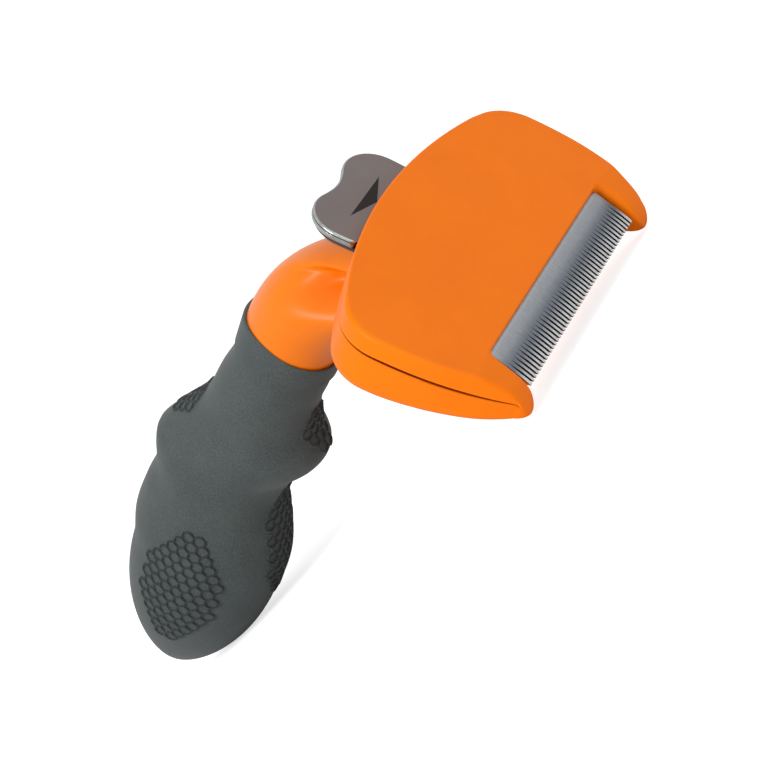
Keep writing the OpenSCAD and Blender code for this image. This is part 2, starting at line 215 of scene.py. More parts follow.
def add_node(
    tree: bpy.types.NodeTree,
    kind: str,
    settings: Optional[dict[str, Any]] = None,
    values: Optional[dict[Any, Any]] = None,
    links: Optional[dict[Any, bpy.types.NodeSocket]] = None,
) -> bpy.types.Node:
    """Add one node with its settings, socket values and incoming links.

    Args:
        tree: node tree to add to.
        kind: the node's type name.
        settings: attributes of the node.
        values: values for input sockets, by name or index.
        links: sockets that feed the inputs, by name or index.

    Returns:
        The new node.
    """
    node = tree.nodes.new(kind)
    for key, value in (settings or {}).items():
        setattr(node, key, value)
    for key, value in (values or {}).items():
        node.inputs[key].default_value = value
    for key, socket in (links or {}).items():
        tree.links.new(socket, node.inputs[key])
    return node


def new_material(name: str) -> tuple[bpy.types.Material, bpy.types.NodeTree, bpy.types.NodeSocket]:
    """Start an empty node material.

    Args:
        name: the material's name.

    Returns:
        The material, its node tree and the object coordinate socket.
    """
    material = bpy.data.materials.new(name)
    material.use_nodes = True
    material.node_tree.nodes.clear()
    coordinates = add_node(material.node_tree, "ShaderNodeTexCoord")
    return material, material.node_tree, coordinates.outputs["Object"]


def speckle(
    tree: bpy.types.NodeTree,
    where: bpy.types.NodeSocket,
    size_mm: float,
    detail: float,
    stretch: tuple[float, float, float] = (1.0, 1.0, 1.0),
) -> bpy.types.NodeSocket:
    """Lay a noise whose blobs have a real size.

    Args:
        tree: node tree to add to.
        where: object coordinates, in metres.
        size_mm: size of one blob.
        detail: octaves of finer noise.
        stretch: scale factors along the axes; a small one draws the blobs out into lines.

    Returns:
        The noise, about 0.5 on average.
    """
    mapped = add_node(
        tree, "ShaderNodeMapping", values={"Scale": stretch}, links={"Vector": where}
    )
    grain = add_node(
        tree,
        "ShaderNodeTexNoise",
        values={"Scale": 1.0 / (size_mm * MM), "Detail": detail, "Roughness": 0.55},
        links={"Vector": mapped.outputs["Vector"]},
    )
    return grain.outputs["Fac"]


@dataclass(frozen=True)
class Finish:
    """What every finish has: two close tones, the record's material slot and a gloss range."""

    name: str
    dark: str
    light: str
    slot: str
    roughness: tuple[float, float] = (0.34, 0.42)

    # the middle of a noise, which is spread over the whole range that it drives
    NOISE = {"From Min": 0.3, "From Max": 0.7}

    def tone(
        self,
        tree: bpy.types.NodeTree,
        pattern: bpy.types.NodeSocket,
        span: Optional[dict[str, float]] = None,
    ) -> bpy.types.NodeSocket:
        """Run a pattern from the dark tone to the light one.

        Args:
            tree: node tree to add to.
            pattern: the pattern.
            span: the pattern's values that give the two tones, if it isn't a plain noise.

        Returns:
            The colour.
        """
        share = add_node(
            tree, "ShaderNodeMapRange", values=span or self.NOISE, links={"Value": pattern}
        )
        ramp = add_node(tree, "ShaderNodeValToRGB", links={"Fac": share.outputs["Result"]})
        for stop, code in zip(ramp.color_ramp.elements, (self.dark, self.light)):
            stop.color = colour(code)
        return ramp.outputs["Color"]

    def close(
        self,
        tree: bpy.types.NodeTree,
        base: bpy.types.NodeSocket,
        grain: bpy.types.NodeSocket,
        relief: tuple[float, float],
        values: dict[str, float],
    ) -> None:
        """Close the material: the grain drives its gloss and its relief.

        Args:
            tree: node tree to close.
            base: the colour.
            grain: the fine pattern.
            relief: strength of the relief and its depth in millimetres.
            values: constant values set on the shader's own sockets.
        """
        low, high = self.roughness
        gloss = add_node(
            tree,
            "ShaderNodeMapRange",
            values={**self.NOISE, "To Min": low, "To Max": high},
            links={"Value": grain},
        )
        strength, depth_mm = relief
        bump = add_node(
            tree,
            "ShaderNodeBump",
            values={"Strength": strength, "Distance": depth_mm * MM},
            links={"Height": grain},
        )
        shader = add_node(
            tree,
            "ShaderNodeBsdfPrincipled",
            values=values,
            links={
                "Base Color": base,
                "Roughness": gloss.outputs["Result"],
                "Normal": bump.outputs["Normal"],
            },
        )
        add_node(tree, "ShaderNodeOutputMaterial", links={"Surface": shader.outputs["BSDF"]})


@dataclass(frozen=True)
class MouldedPlastic(Finish):
    """Injection-moulded plastic: fine tool texture, slight flow shading, satin gloss."""

    grain_mm: float = 0.35
    grain_depth: float = 0.06
    specular: float = 0.5
    metallic: float = 0.0
    flow_mm: float = 14.0

    def build(self) -> bpy.types.Material:
        """Make the material.

        Returns:
            The material.
        """
        material, tree, where = new_material(self.name)
        # flow shading: broad clouds, barely lighter and darker
        base = self.tone(tree, speckle(tree, where, self.flow_mm, 3.0))
        # the tool's spark texture is about 0.05 mm; drawn coarser so that it shows
        grain = speckle(tree, where, self.grain_mm, 3.0)
        self.close(tree, base, grain, (0.35, self.grain_depth), {
            "Specular IOR Level": self.specular, "Metallic": self.metallic, "IOR": 1.5,
        })
        return material


@dataclass(frozen=True)
class SoftTouchRubber(Finish):
    """Overmoulded elastomer: matte, finely pitted, with a faint dusty sheen at its edges."""

    roughness: tuple[float, float] = (0.62, 0.78)
    pit_mm: float = 0.42
    pit_depth: float = 0.10
    sheen: float = 0.12
    cloud_mm: float = 11.0
    cloud_weight: float = 0.35

    def build(self) -> bpy.types.Material:
        """Make the material.

        Returns:
            The material.
        """
        material, tree, where = new_material(self.name)
        # eroded tool texture: pits of about 0.2 mm, drawn twice as coarse so that they show
        pits = speckle(tree, where, self.pit_mm, 4.0)
        both = add_node(
            tree,
            "ShaderNodeMath",
            {"operation": "MULTIPLY_ADD"},
            values={1: self.cloud_weight},
            links={0: speckle(tree, where, self.cloud_mm, 2.0), 2: pits},
        )
        # the sum of the two noises spreads wider than one of them
        base = self.tone(tree, both.outputs["Value"], {"From Min": 0.46, "From Max": 0.9})
        self.close(tree, base, pits, (0.5, self.pit_depth), {
            "Sheen Weight": self.sheen, "Sheen Roughness": 0.5,
            "Specular IOR Level": 0.38, "IOR": 1.5,
        })
        return material


@dataclass(frozen=True)
class WorkedMetal(Finish):
    """Metal with the lines that grinding, rolling or drawing left on it."""

    roughness: tuple[float, float] = (0.28, 0.4)
    line_mm: float = 0.25
    stretch: tuple[float, float, float] = (1.0, 1.0, 0.06)
    line_depth: float = 0.02
    # painted reflection: tones along the height attribute
    fade: tuple[tuple[float, str], ...] = ()

    def build(self) -> bpy.types.Material:
        """Make the material.

        Returns:
            The material.
        """
        material, tree, where = new_material(self.name)
        # lines left by the abrasive belt, about 0.1 mm apart and drawn coarser so that they show
        lines = speckle(tree, where, self.line_mm, 4.0, self.stretch)
        base = self.tone(tree, lines)
        # painted reflection along the teeth
        if self.fade:
            base = self.tone_painted_reflection(tree, base)
        self.close(tree, base, lines, (0.4, self.line_depth), {"Metallic": 1.0})
        return material

    def tone_painted_reflection(
        self, tree: bpy.types.NodeTree, base: bpy.types.NodeSocket
    ) -> bpy.types.NodeSocket:
        """Paint reflection into the metal along the piece's own height attribute.

        Args:
            tree: node tree to add to.
            base: colour before toning.

        Returns:
            The toned colour: painted reflection, darker where the teeth part and bright at their
                tips.
        """
        height = add_node(tree, "ShaderNodeAttribute", {"attribute_name": "height"})
        ramp = add_node(tree, "ShaderNodeValToRGB", links={"Fac": height.outputs["Fac"]})
        stops = ramp.color_ramp.elements
        stops[0].color = colour(self.fade[0][1])
        stops[1].color = colour(self.fade[-1][1])
        for position, code in self.fade[1:-1]:
            stops.new(position).color = colour(code)
        toned = add_node(
            tree, "ShaderNodeMix", {"data_type": "RGBA", "blend_type": "MULTIPLY"},
            values={0: 1.0}, links={6: base, 7: ramp.outputs["Color"]},
        )
        return toned.outputs[2]


class Finishes(Enum):
    """Every finish on the tool, by what the real one is; some carry painted shade or painted
    reflection.
    """

    # fine-textured faces of the head: even satin orange
    ORANGE_ABS = MouldedPlastic(
        "orange_abs_satin", "#F97900", "#FF7E00", "orange_plastic", (0.36, 0.44),
        grain_mm=0.5, grain_depth=0.03, specular=0.14,
    )
    # the neck's tool is polished, so the bend carries a soft bright streak
    NECK_ABS = MouldedPlastic(
        "orange_abs_polished", "#F37A00", "#F97E00", "orange_plastic", (0.28, 0.36),
        grain_mm=0.5, grain_depth=0.01, specular=0.28,
    )
    # orange plastic with painted shade inside the parting line: a dark brown line round the head
    SEAM_SHADE_ABS = MouldedPlastic(
        "orange_abs_painted_seam_shade", "#9A3A08", "#A8420A", "orange_plastic", (0.6, 0.7),
        grain_mm=0.5, grain_depth=0.03, specular=0.14,
    )
    # the grip: matte dark grey that lifts a little at its edges
    SOFT_GRIP = SoftTouchRubber("grey_soft_touch_rubber", "#343B3B", "#4E5655", "soft_grip")
    # painted shade in the engraved grooves: near black
    GROOVE_SHADE_RUBBER = SoftTouchRubber(
        "grey_rubber_painted_groove_shade", "#1D2121", "#272C2C", "soft_grip"
    )
    # lines of the belt run along the edge; painted reflection takes the bevel from bright to dark
    # to grey
    BLADE_STEEL = WorkedMetal(
        "ground_stainless_steel_painted_reflection", "#DEE0E2", "#FAFBFC", "blade_steel", (0.3, 0.42),
        line_mm=0.22, stretch=(1.0, 0.12, 0.12),
        fade=(
            (0.0, "#F6F6F4"), (0.14, "#E6E7E7"), (0.28, "#B4B7BA"), (0.42, "#7B8088"),
            (0.56, "#7B8088"), (0.74, "#9FA2A6"), (1.0, "#ABAEB1"),
        ),
    )
    # walls that the cutting wheel left: rougher, and dark as painted shade, so that the teeth
    # stand apart
    GAP_SHADE_STEEL = WorkedMetal(
        "wheel_cut_steel_painted_shade", "#3A3E45", "#4A4F57", "blade_steel", (0.4, 0.5),
        line_mm=0.22, stretch=(1.0, 0.12, 0.12),
    )
    # lacquer with a little metal flake: warm grey with a soft sheen
    BUTTON_PAINT = MouldedPlastic(
        "warm_grey_metallic_lacquer", "#6F6664", "#776E6C", "grey_plastic", (0.34, 0.42),
        grain_mm=0.3, grain_depth=0.02, specular=0.35, metallic=0.1,
    )
    # plated edge: a thin bright line round the cap
    BUTTON_RIM = WorkedMetal(
        "polished_chromed_edge", "#989B97", "#B4B7B3", "grey_plastic", (0.14, 0.24),
        line_mm=0.4, stretch=(0.2, 1.0, 0.2), line_depth=0.01,
    )
    # unpainted plastic behind the cap
    BUTTON_BACK = MouldedPlastic(
        "dark_grey_abs", "#4A4442", "#544D4B", "grey_plastic", (0.4, 0.5)
    )
    # printed ink: flat and dark, with no gloss of its own
    ARROW_INK = MouldedPlastic(
        "matt_black_pad_print", "#1E1B1A", "#242120", "grey_plastic", (0.5, 0.6),
        grain_mm=0.3, grain_depth=0.02, specular=0.15,
    )
    # the parts inside, each in the plain colour of what it is made of
    GREY_ABS = MouldedPlastic("mid_grey_abs", "#6E6765", "#787170", "grey_plastic", (0.4, 0.5))
    BLACK_NYLON = MouldedPlastic(
        "black_moulded_nylon", "#1B1B1C", "#242425", "black_nylon", (0.45, 0.55)
    )
    ZINC_STEEL = WorkedMetal(
        "zinc_plated_steel", "#A6A8AB", "#C4C6C8", "zinc_steel", (0.3, 0.42),
        line_mm=0.6, stretch=(1.0, 1.0, 1.0),
    )
    SPRING_WIRE = WorkedMetal(
        "bright_drawn_wire", "#B4B6B8", "#D2D3D5", "spring_steel", (0.22, 0.32),
        line_mm=0.3, stretch=(1.0, 1.0, 0.4),
    )
    ACETAL = MouldedPlastic("natural_acetal", "#E2E1DA", "#ECEBE4", "acetal", (0.35, 0.45))
    STOP_RUBBER = SoftTouchRubber("black_stop_rubber", "#161616", "#1E1E1E", "black_rubber")


class MaterialShelf:
    """Builds each finish once and hands it out."""

    def __init__(self) -> None:
        """Start with an empty shelf."""
        self._made: dict[Finishes, bpy.types.Material] = {}

    def take(self, finish: Finishes) -> bpy.types.Material:
        """Hand out the material of a finish, made on first use.

        Args:
            finish: the finish.

        Returns:
            Its material.
        """
        if finish not in self._made:
            self._made[finish] = finish.value.build()
        return self._made[finish]


# ---- mesh helpers ----


def extrude_rim(
    bm: bmesh.types.BMesh, rim: Sequence[bmesh.types.BMEdge]
) -> tuple[list[bmesh.types.BMFace], set[bmesh.types.BMVert], list[bmesh.types.BMEdge]]:
    """Extrude an open rim once.

    Args:
        bm: mesh to add to.
        rim: edges of the open rim.

    Returns:
        The new faces, the new vertices and the new rim.
    """
    grown = bmesh.ops.extrude_edge_only(bm, edges=rim)["geom"]
    faces = [item for item in grown if isinstance(item, bmesh.types.BMFace)]
    fresh = {item for item in grown if isinstance(item, bmesh.types.BMVert)}
    edges = [
        item
        for item in grown
        if isinstance(item, bmesh.types.BMEdge) and set(item.verts) <= fresh
    ]
    return faces, fresh, edges


class RingSkin:
    """A skin grown ring by ring from one closed outline, with numbered spots round it."""

    def __init__(self, count: int, place: Place) -> None:
        """Lay the first ring and close it.

        Args:
            count: number of spots round the ring.
            place: position of each spot.
        """
        self.bm = bmesh.new()
        self.spot = self.bm.verts.layers.int.new("spot")
        verts = [self.bm.verts.new(place(i)) for i in range(count)]
        for i, vert in enumerate(verts):
            vert[self.spot] = i
        self.rim = [
            self.bm.edges.new((verts[i], verts[(i + 1) % count])) for i in range(count)
        ]
        self._close(0)

    def grow(self, place: Place, material: int = 0) -> None:
        """Extrude the open rim to a new ring.

        Args:
            place: position of each spot on the new ring.
            material: material index of the new faces.
        """
        faces, fresh, self.rim = extrude_rim(self.bm, self.rim)
        for face in faces:
            face.material_index = material
        for vert in fresh:
            vert.co = place(vert[self.spot])

    def _close(self, material: int) -> None:
        """Fill the open rim with one face of a material index."""
        for face in bmesh.ops.edgeloop_fill(self.bm, edges=self.rim)["faces"]:
            face.material_index = material

    def closed(self, material: int = 0) -> bmesh.types.BMesh:
        """Close the last ring with one face of a material index; returns the closed mesh."""
        self._close(material)
        return self.bm


def slice_level(bm: bmesh.types.BMesh, table: Sequence[tuple[float, float]]) -> None:
    """Add a ring of edges at each height of a table, so that the skin can bend there.

    Args:
        bm: mesh to slice.
        table: rows that start with a height; the first one lies outside the mesh.
    """
    for height, _ in table[1:]:
        bmesh.ops.bisect_plane(
            bm, geom=bm.verts[:] + bm.edges[:] + bm.faces[:],
            plane_co=(0, 0, height), plane_no=(0, 0, 1), dist=1e-5,
        )


def add_bores(
    cutter: bmesh.types.BMesh,
    spots: Sequence[tuple[float, float]],
    radius: float,
    floor: float,
    segments: int,
) -> None:
    """Add the cutters of round wells that open to the back, on both sides of the middle.

    Args:
        cutter: mesh to add to.
        spots: offset from the middle and height of each well.
        radius: radius of the wells.
        floor: depth of their floors.
        segments: corners round each well.
    """
    length = 10.0
    for x, z in spots:
        for side in (-1, 1):
            spot = Matrix.Translation((side * x, floor + length / 2, z))
            bmesh.ops.create_cone(
                cutter, cap_ends=True, segments=segments, radius1=radius, radius2=radius,
                depth=length, matrix=spot @ Matrix.Rotation(math.pi / 2, 4, "X"),
            )


def wrapped_sheet(
    along: int,
    around: int,
    surface: Surface,
    fine: Optional[Callable[[float, float], bool]] = None,
    cuts: int = 4,
    dark: Optional[Callable[[float, float], bool]] = None,
) -> bmesh.types.BMesh:
    """Wrap a grid round a form and weld it shut.

    Args:
        along: number of steps from start to end.
        around: number of steps round the form.
        surface: position for a share along, 0 to 1, and an angle, 0 to 1.
        fine: says which places get a finer grid.
        cuts: cuts per edge of the finer grid.
        dark: says which faces get the second material; on the grip, the painted shade of the
            grooves.

    Returns:
        The welded mesh.
    """
    bm = bmesh.new()
    bmesh.ops.create_grid(bm, x_segments=along, y_segments=around, size=0.5)
    bmesh.ops.translate(bm, verts=bm.verts, vec=(0.5, 0.5, 0.0))
    if fine is not None:
        chosen = [
            face
            for face in bm.faces
            if any(fine(v.co.x, v.co.y) for v in face.verts)
        ]
        edges = list({edge for face in chosen for edge in face.edges})
        bmesh.ops.subdivide_edges(bm, edges=edges, cuts=cuts, use_grid_fill=True)
    if dark is not None:
        for face in bm.faces:
            middle = face.calc_center_median()
            face.material_index = int(dark(middle.x, middle.y))
    for vert in bm.verts:
        vert.co = surface(vert.co.x, vert.co.y)
    bmesh.ops.remove_doubles(bm, verts=bm.verts, dist=1e-4)
    return bm


def slab(
    bm: bmesh.types.BMesh, outline: Sequence[Vector], rise: Vector
) -> list[bmesh.types.BMVert]:
    """Add an outline pulled up into a solid slab.

    Args:
        bm: mesh to add to.
        outline: corners of the flat face, in order.
        rise: how far the face is pulled.

    Returns:
        The slab's vertices.
    """
    base = [bm.verts.new(p) for p in outline]
    face = bm.faces.new(base)
    pulled = bmesh.ops.extrude_face_region(bm, geom=[face], use_keep_orig=True)["geom"]
    tops = [item for item in pulled if isinstance(item, bmesh.types.BMVert)]
    bmesh.ops.translate(bm, verts=tops, vec=rise)
    verts = base + tops
    faces = {f for v in verts for f in v.link_faces}
    bmesh.ops.recalc_face_normals(bm, faces=list(faces))
    return verts


def place_object(name: str, data: bpy.types.ID) -> bpy.types.Object:
    """Put a new object in the scene.

    Args:
        name: the object's name.
        data: its mesh, lamp or camera.

    Returns:
        The object.
    """
    thing = bpy.data.objects.new(name, data)
    bpy.context.scene.collection.objects.link(thing)
    return thing


def place_mesh(name: str, bm: bmesh.types.BMesh) -> bpy.types.Object:
    """Put a new mesh object in the scene.

    Args:
        name: name of the object and its mesh.
        bm: the mesh, which is freed.

    Returns:
        The object.
    """
    mesh = bpy.data.meshes.new(name)
    bm.to_mesh(mesh)
    bm.free()
    return place_object(name, mesh)


@dataclass
class Workshop:
    """What every sub-assembly needs to finish a piece."""

    lay: HeadFrame
    shelf: MaterialShelf
    made: list[str] = field(default_factory=list)

    def finish(
        self,
        bm: bmesh.types.BMesh,
        name: str,
        body: str,
        finishes: Sequence[Finishes],
        replaces: Sequence[str] = (),
        sharp: float = 40.0,
        weighted: bool = True,
    ) -> bpy.types.Object:
        """Turn a head frame mesh into a finished piece of the model.

        Args:
            bm: the closed mesh in millimetres, which is freed.
            name: the piece's name.
            body: CAD body that it rides on.
            finishes: one finish for each material index.
            replaces: CAD nodes that it stands for.
            sharp: angle in degrees past which an edge stays sharp.
            weighted: whether flat faces lead the shading.

        Returns:
            The new object.
        """
        bmesh.ops.recalc_face_normals(bm, faces=bm.faces)
        bmesh.ops.transform(bm, matrix=self.lay.matrix, verts=bm.verts)
        for face in bm.faces:
            face.smooth = True
        limit = math.radians(sharp)
        for edge in bm.edges:
            edge.smooth = len(edge.link_faces) != 2 or edge.calc_face_angle(0.0) < limit
        piece = place_mesh(name, bm)
        for finish in finishes:
            piece.data.materials.append(self.shelf.take(finish))
        if weighted:
            shading = piece.modifiers.new("flat_faces_lead", "WEIGHTED_NORMAL")
            shading.keep_sharp = True
        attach(piece, body)
        if replaces:
            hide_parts(*replaces)
        self.made.append(name)
        LOG.info("%s: %d faces on %s", name, len(piece.data.polygons), body)
        return piece


def cut_away(target: bpy.types.Object, cutter: bmesh.types.BMesh, matrix: Matrix) -> None:
    """Subtract a cutter mesh from a piece and keep the result as its mesh.

    Args:
        target: piece to cut.
        cutter: cutter in millimetres, which is freed.
        matrix: lays the cutter in the model's frame.
    """
    bmesh.ops.transform(cutter, matrix=matrix, verts=cutter.verts)
    bmesh.ops.recalc_face_normals(cutter, faces=cutter.faces)
    tool = place_mesh("cutter", cutter)
    shape = tool.data
    cut = target.modifiers.new("cut", "BOOLEAN")
    cut.operation = "DIFFERENCE"
    cut.solver = "EXACT"
    cut.object = tool
    others = [m for m in target.modifiers if m != cut]
    for modifier in others:
        modifier.show_viewport = False
    bpy.context.view_layer.update()
    seen = target.evaluated_get(bpy.context.evaluated_depsgraph_get())
    result = bpy.data.meshes.new_from_object(seen)
    target.modifiers.remove(cut)
    for modifier in others:
        modifier.show_viewport = True
    old = target.data
    result.name = old.name
    target.data = result
    bpy.data.meshes.remove(old)
    bpy.data.objects.remove(tool)
    bpy.data.meshes.remove(shape)


# ---- head ----


class Edge(Enum):
    """Stretches of the head's outline."""

    LIP = "lip"
    MOUTH = "mouth"
    INNER = "inner"
    TIP = "tip"
    SIDE = "side"
    CORNER = "corner"
    REAR = "rear"


@dataclass
class HeadForm:
    """Outline of the head and the sizes that both of its shells share."""

    width: float = 94.6
    length: float = 39.1
    depth: float = 16.5
    # the mouth between the guards, where the blade stands out
    mouth_half: float = 34.4
    mouth_r: float = 2.0
    blade_y: float = 1.6
    # tips of the guards
    tip_x: float = 37.9
    tip_z: float = -10.6
    tip_r: float = 3.0
    # sides, rear corners and the long curve of the rear edge
    side_bow: float = 2.3
    corner_x: float = 35.9
    corner_r: float = 11.4
    rear_r: float = 115.0
    window_half: float = 16.8
    # walls and the tongue that joins the shells
    wall: float = 1.7
    tongue: float = 1.2
    # parting line: its depth at a height, its slope and its turn round the guard tips
    seam_y: float = 5.0
    seam_z: float = 10.0
    seam_slope: float = 0.012
    seam_turn: float = 2.7
    turn_from: float = -10.0
    turn_to: float = -13.9
    # opening of the parting line: a hairline that widens to a slot along the sides
    hairline: float = 0.08
    slot: float = 0.68
    slot_x: float = 39.4
    slot_low: float = -10.7

    def __post_init__(self) -> None:
        """Work out the outline once."""
        reach = self.rear_r - self.corner_r
        self.rear_z = self.length - self.rear_r
        self.corner_z = self.rear_z + math.sqrt(reach**2 - self.corner_x**2)
        half = self._half()
        self.spots = half + [
            (-x, z, edge) for x, z, edge in reversed(half) if abs(x) > 1e-6
        ]
        self.count = len(self.spots)
        self.inward = [self._inward(i) for i in range(self.count)]

    def _half(self) -> list[tuple[float, float, Edge]]:
        """Lay spots from the middle of the lip round the right half to the middle of the rear.

        Returns:
            Offset from the middle, height and stretch of each spot.
        """
        m, r = self.mouth_half, self.mouth_r
        low_x = self.tip_x - self.tip_r
        shares = [i / 9 for i in range(1, 9)]
        tip, corner = (self.tip_x, self.tip_z), (self.corner_x, self.corner_z)
        end = math.degrees(math.atan2(self.corner_z - self.rear_z, self.corner_x))
        round_corner = arc(corner, self.corner_r, 0, end, 12)
        # spots stand closer together near the guard, where the side turns fastest
        heights = [mix(self.tip_z, self.corner_z, (i / 22) ** 1.25) for i in range(1, 22)]
        xs = [mix(round_corner[-1][0], self.window_half + 0.1, i / 9) for i in range(1, 10)]
        xs += [mix(self.window_half, 0.0, i / 7) for i in range(8)]
        stretches = {
            Edge.LIP: [((m - r) * i / 8, 0.0) for i in range(8)],
            Edge.MOUTH: arc((m - r, -r), r, 90, 0, 6),
            Edge.INNER: [(mix(m, low_x, t), mix(-r, self.tip_z, t)) for t in shares],
            Edge.TIP: arc(tip, self.tip_r, 180, 360, 12),
            Edge.SIDE: [(self.side_x(z), z) for z in heights],
            Edge.CORNER: round_corner,
            Edge.REAR: [(x, self.rear_z + math.sqrt(self.rear_r**2 - x * x)) for x in xs],
        }
        return [(x, z, edge) for edge, spots in stretches.items() for x, z in spots]

    def side_x(self, z: float) -> float:
        """Read how wide the head is.

        Args:
            z: height.

        Returns:
            Half the width at that height.
        """
        foot = self.tip_x + self.tip_r
        t = min(1.0, max(0.0, z - self.tip_z) / (self.corner_z - self.tip_z))
        return foot + (self.width / 2 - foot) * (1 - (1 - t) ** self.side_bow)

    def _inward(self, i: int) -> Vector:
        """Find the way into the material, square to the outline.

        Args:
            i: number of the spot.

        Returns:
            The direction, in offset and height.
        """
        before = self.spots[i - 1]
        after = self.spots[(i + 1) % self.count]
        along = Vector((after[0] - before[0], after[1] - before[1])).normalized()
        return Vector((-along.y, along.x))

    def seam(self, z: float) -> float:
        """Depth of the parting line at a height; it turns back round the guard tips."""
        turn = self.seam_turn * smooth_step(self.turn_from, self.turn_to, z)
        return self.seam_y + self.seam_slope * (z - self.seam_z) + turn

    def gap(self, i: int) -> float:
        """Read how far the parting line is open.

        Args:
            i: number of the spot.

        Returns:
            The opening: a slot along each side, a hairline elsewhere.
        """
        x, z, edge = self.spots[i]
        outside = edge in (Edge.SIDE, Edge.CORNER, Edge.TIP)
        if not outside or z < self.slot_low or abs(x) < self.slot_x:
            return self.hairline
        # full along the middle of the side, closing to the rear and narrower on the guard
        share = smooth_step(34.0, 16.0, z) * mix(1.0, 0.7, smooth_step(6.0, -11.0, z))
        return self.hairline + self.slot * share

    def on(self, i: int, inset: float, depth: float) -> Vector:
        """Find a point inside the outline.

        Args:
            i: number of the spot.
            inset: distance into the material.
            depth: depth behind the face.

        Returns:
            The point.
        """
        x, z, _ = self.spots[i]
        step = self.inward[i] * inset
        return Vector((x + step.x, depth, z + step.y))

    def opening(self, i: int, lip: float, window: float, closed: float) -> float:
        """Pick a value by what the outline is at a spot.

        Args:
            i: number of the spot.
            lip: value on the lip, in front of the blade.
            window: value in the window that the button slides through.
            closed: value where the two shells meet.

        Returns:
            One of the three.
        """
        x, _, edge = self.spots[i]
        if edge is Edge.LIP or (edge is Edge.MOUTH and abs(x) < self.mouth_half - 0.9):
            return lip
        if edge is Edge.REAR and abs(x) <= self.window_half:
            return window
        return closed

    def rim(self, lip: float, window: float, side: int) -> list[float]:
        """Find the rim of one shell.

        Args:
            lip: its depth on the lip.
            window: its depth in the button's window.
            side: -1 for the shell in front of the parting line, 1 for the one behind it.

        Returns:
            The depth of the rim at each spot.
        """
        return [
            self.opening(i, lip, window, self.seam(self.spots[i][1]) + side * self.gap(i) / 2)
            for i in range(self.count)
        ]

    def stepped(self, rim: Sequence[float], step: float) -> list[float]:
        """Bring a rim forward where the shells meet.

        Args:
            rim: depth of the rim at each spot.
            step: how far it comes forward.

        Returns:
            The depths of the step.
        """
        return [depth - self.opening(i, 0.0, 0.0, step) for i, depth in enumerate(rim)]


@dataclass
class FrontShell:
    """Front of the head: flat face, soft edges and the front halves of the guards."""

    form: HeadForm
    # height and how far the face falls away there
    drop: tuple[tuple[float, float], ...] = (
        (-13.7, 7.15), (-13.3, 6.5), (-12.6, 5.6), (-11.7, 4.6), (-10.7, 3.7),
        (-9.6, 2.85), (-8.4, 2.15), (-6.9, 1.6), (-5.2, 1.12), (-3.6, 0.7),
        (-2.2, 0.36), (-1.0, 0.12), (0.0, 0.0),
    )
    inner_depth: float = 1.2
    window_rim: float = 4.0
    # the groove for the tongue, from the outer skin, and the broken outer edge
    groove_in: float = 0.95
    groove_out: float = 0.85
    edge_r: float = 0.08
    # radius of the rounded edge of the face, stretch by stretch
    lip_edge: float = 0.35
    mouth_edge: float = 1.7
    guard_edge: float = 1.8
    side_edge: float = 1.1
    rear_edge: float = 0.65
    fillet_steps: int = 7

    def fillet(self, i: int) -> float:
        """Read the radius of the edge of the face.

        Args:
            i: number of the spot.

        Returns:
            The radius.
        """
        x, z, edge = self.form.spots[i]
        if edge is Edge.LIP:
            return self.lip_edge
        if edge is Edge.MOUTH:
            t = (self.form.mouth_r - abs(abs(x) - self.form.mouth_half)) / self.form.mouth_r
            return mix(self.lip_edge, self.mouth_edge, smooth_step(0.0, 1.0, t))
        if edge in (Edge.INNER, Edge.TIP):
            return self.guard_edge
        if edge is Edge.SIDE:
            return mix(self.side_edge, self.guard_edge, smooth_step(12.0, -9.0, z))
        if edge is Edge.CORNER:
            return mix(self.side_edge, self.rear_edge, smooth_step(40.0, 34.0, abs(x)))
        return self.rear_edge

    def build(self, shop: Workshop) -> bpy.types.Object:
        """Make the shell.

        Args:
            shop: finishes the piece.

        Returns:
            The piece.
        """
        form = self.form
        rim = form.rim(form.blade_y, self.window_rim, -1)
        foot = form.stepped(rim, form.tongue)
        edge = [depth - self.edge_r for depth in rim]
        skin = RingSkin(form.count, lambda i: form.on(i, form.wall, self.inner_depth))
        # up the inner wall, over the tongue's groove and the parting face; the groove and the
        # parting face carry the painted seam shade
        for inset, depths, finish in (
            (form.wall, foot, 0), (self.groove_in, foot, 1), (self.groove_out, rim, 1),
            (self.edge_r, rim, 1), (0.0, edge, 0),
        ):
            skin.grow(lambda i, a=inset, d=depths: form.on(i, a, d[i]), finish)
        for k in range(self.fillet_steps + 1):
            a = math.radians(90.0 * k / self.fillet_steps)

            def on_fillet(i: int, a: float = a) -> Vector:
                """A spot on the rounded edge of the face."""
                r = min(self.fillet(i), rim[i] - 0.1)
                return form.on(i, r * (1 - math.cos(a)), r * (1 - math.sin(a)))

            skin.grow(on_fillet)
        bm = skin.closed()
        slice_level(bm, self.drop)
        # the guards fall away from the flat face
        for vert in bm.verts:
            if vert.co.z < 0:
                fall = straight(self.drop, vert.co.z)
                vert.co.y = fall + vert.co.y * (1 - fall / form.seam(vert.co.z))
        return shop.finish(
            bm, "head_front_shell", TOOL, [Finishes.ORANGE_ABS, Finishes.SEAM_SHADE_ABS],
            ["front_shell"],
        )


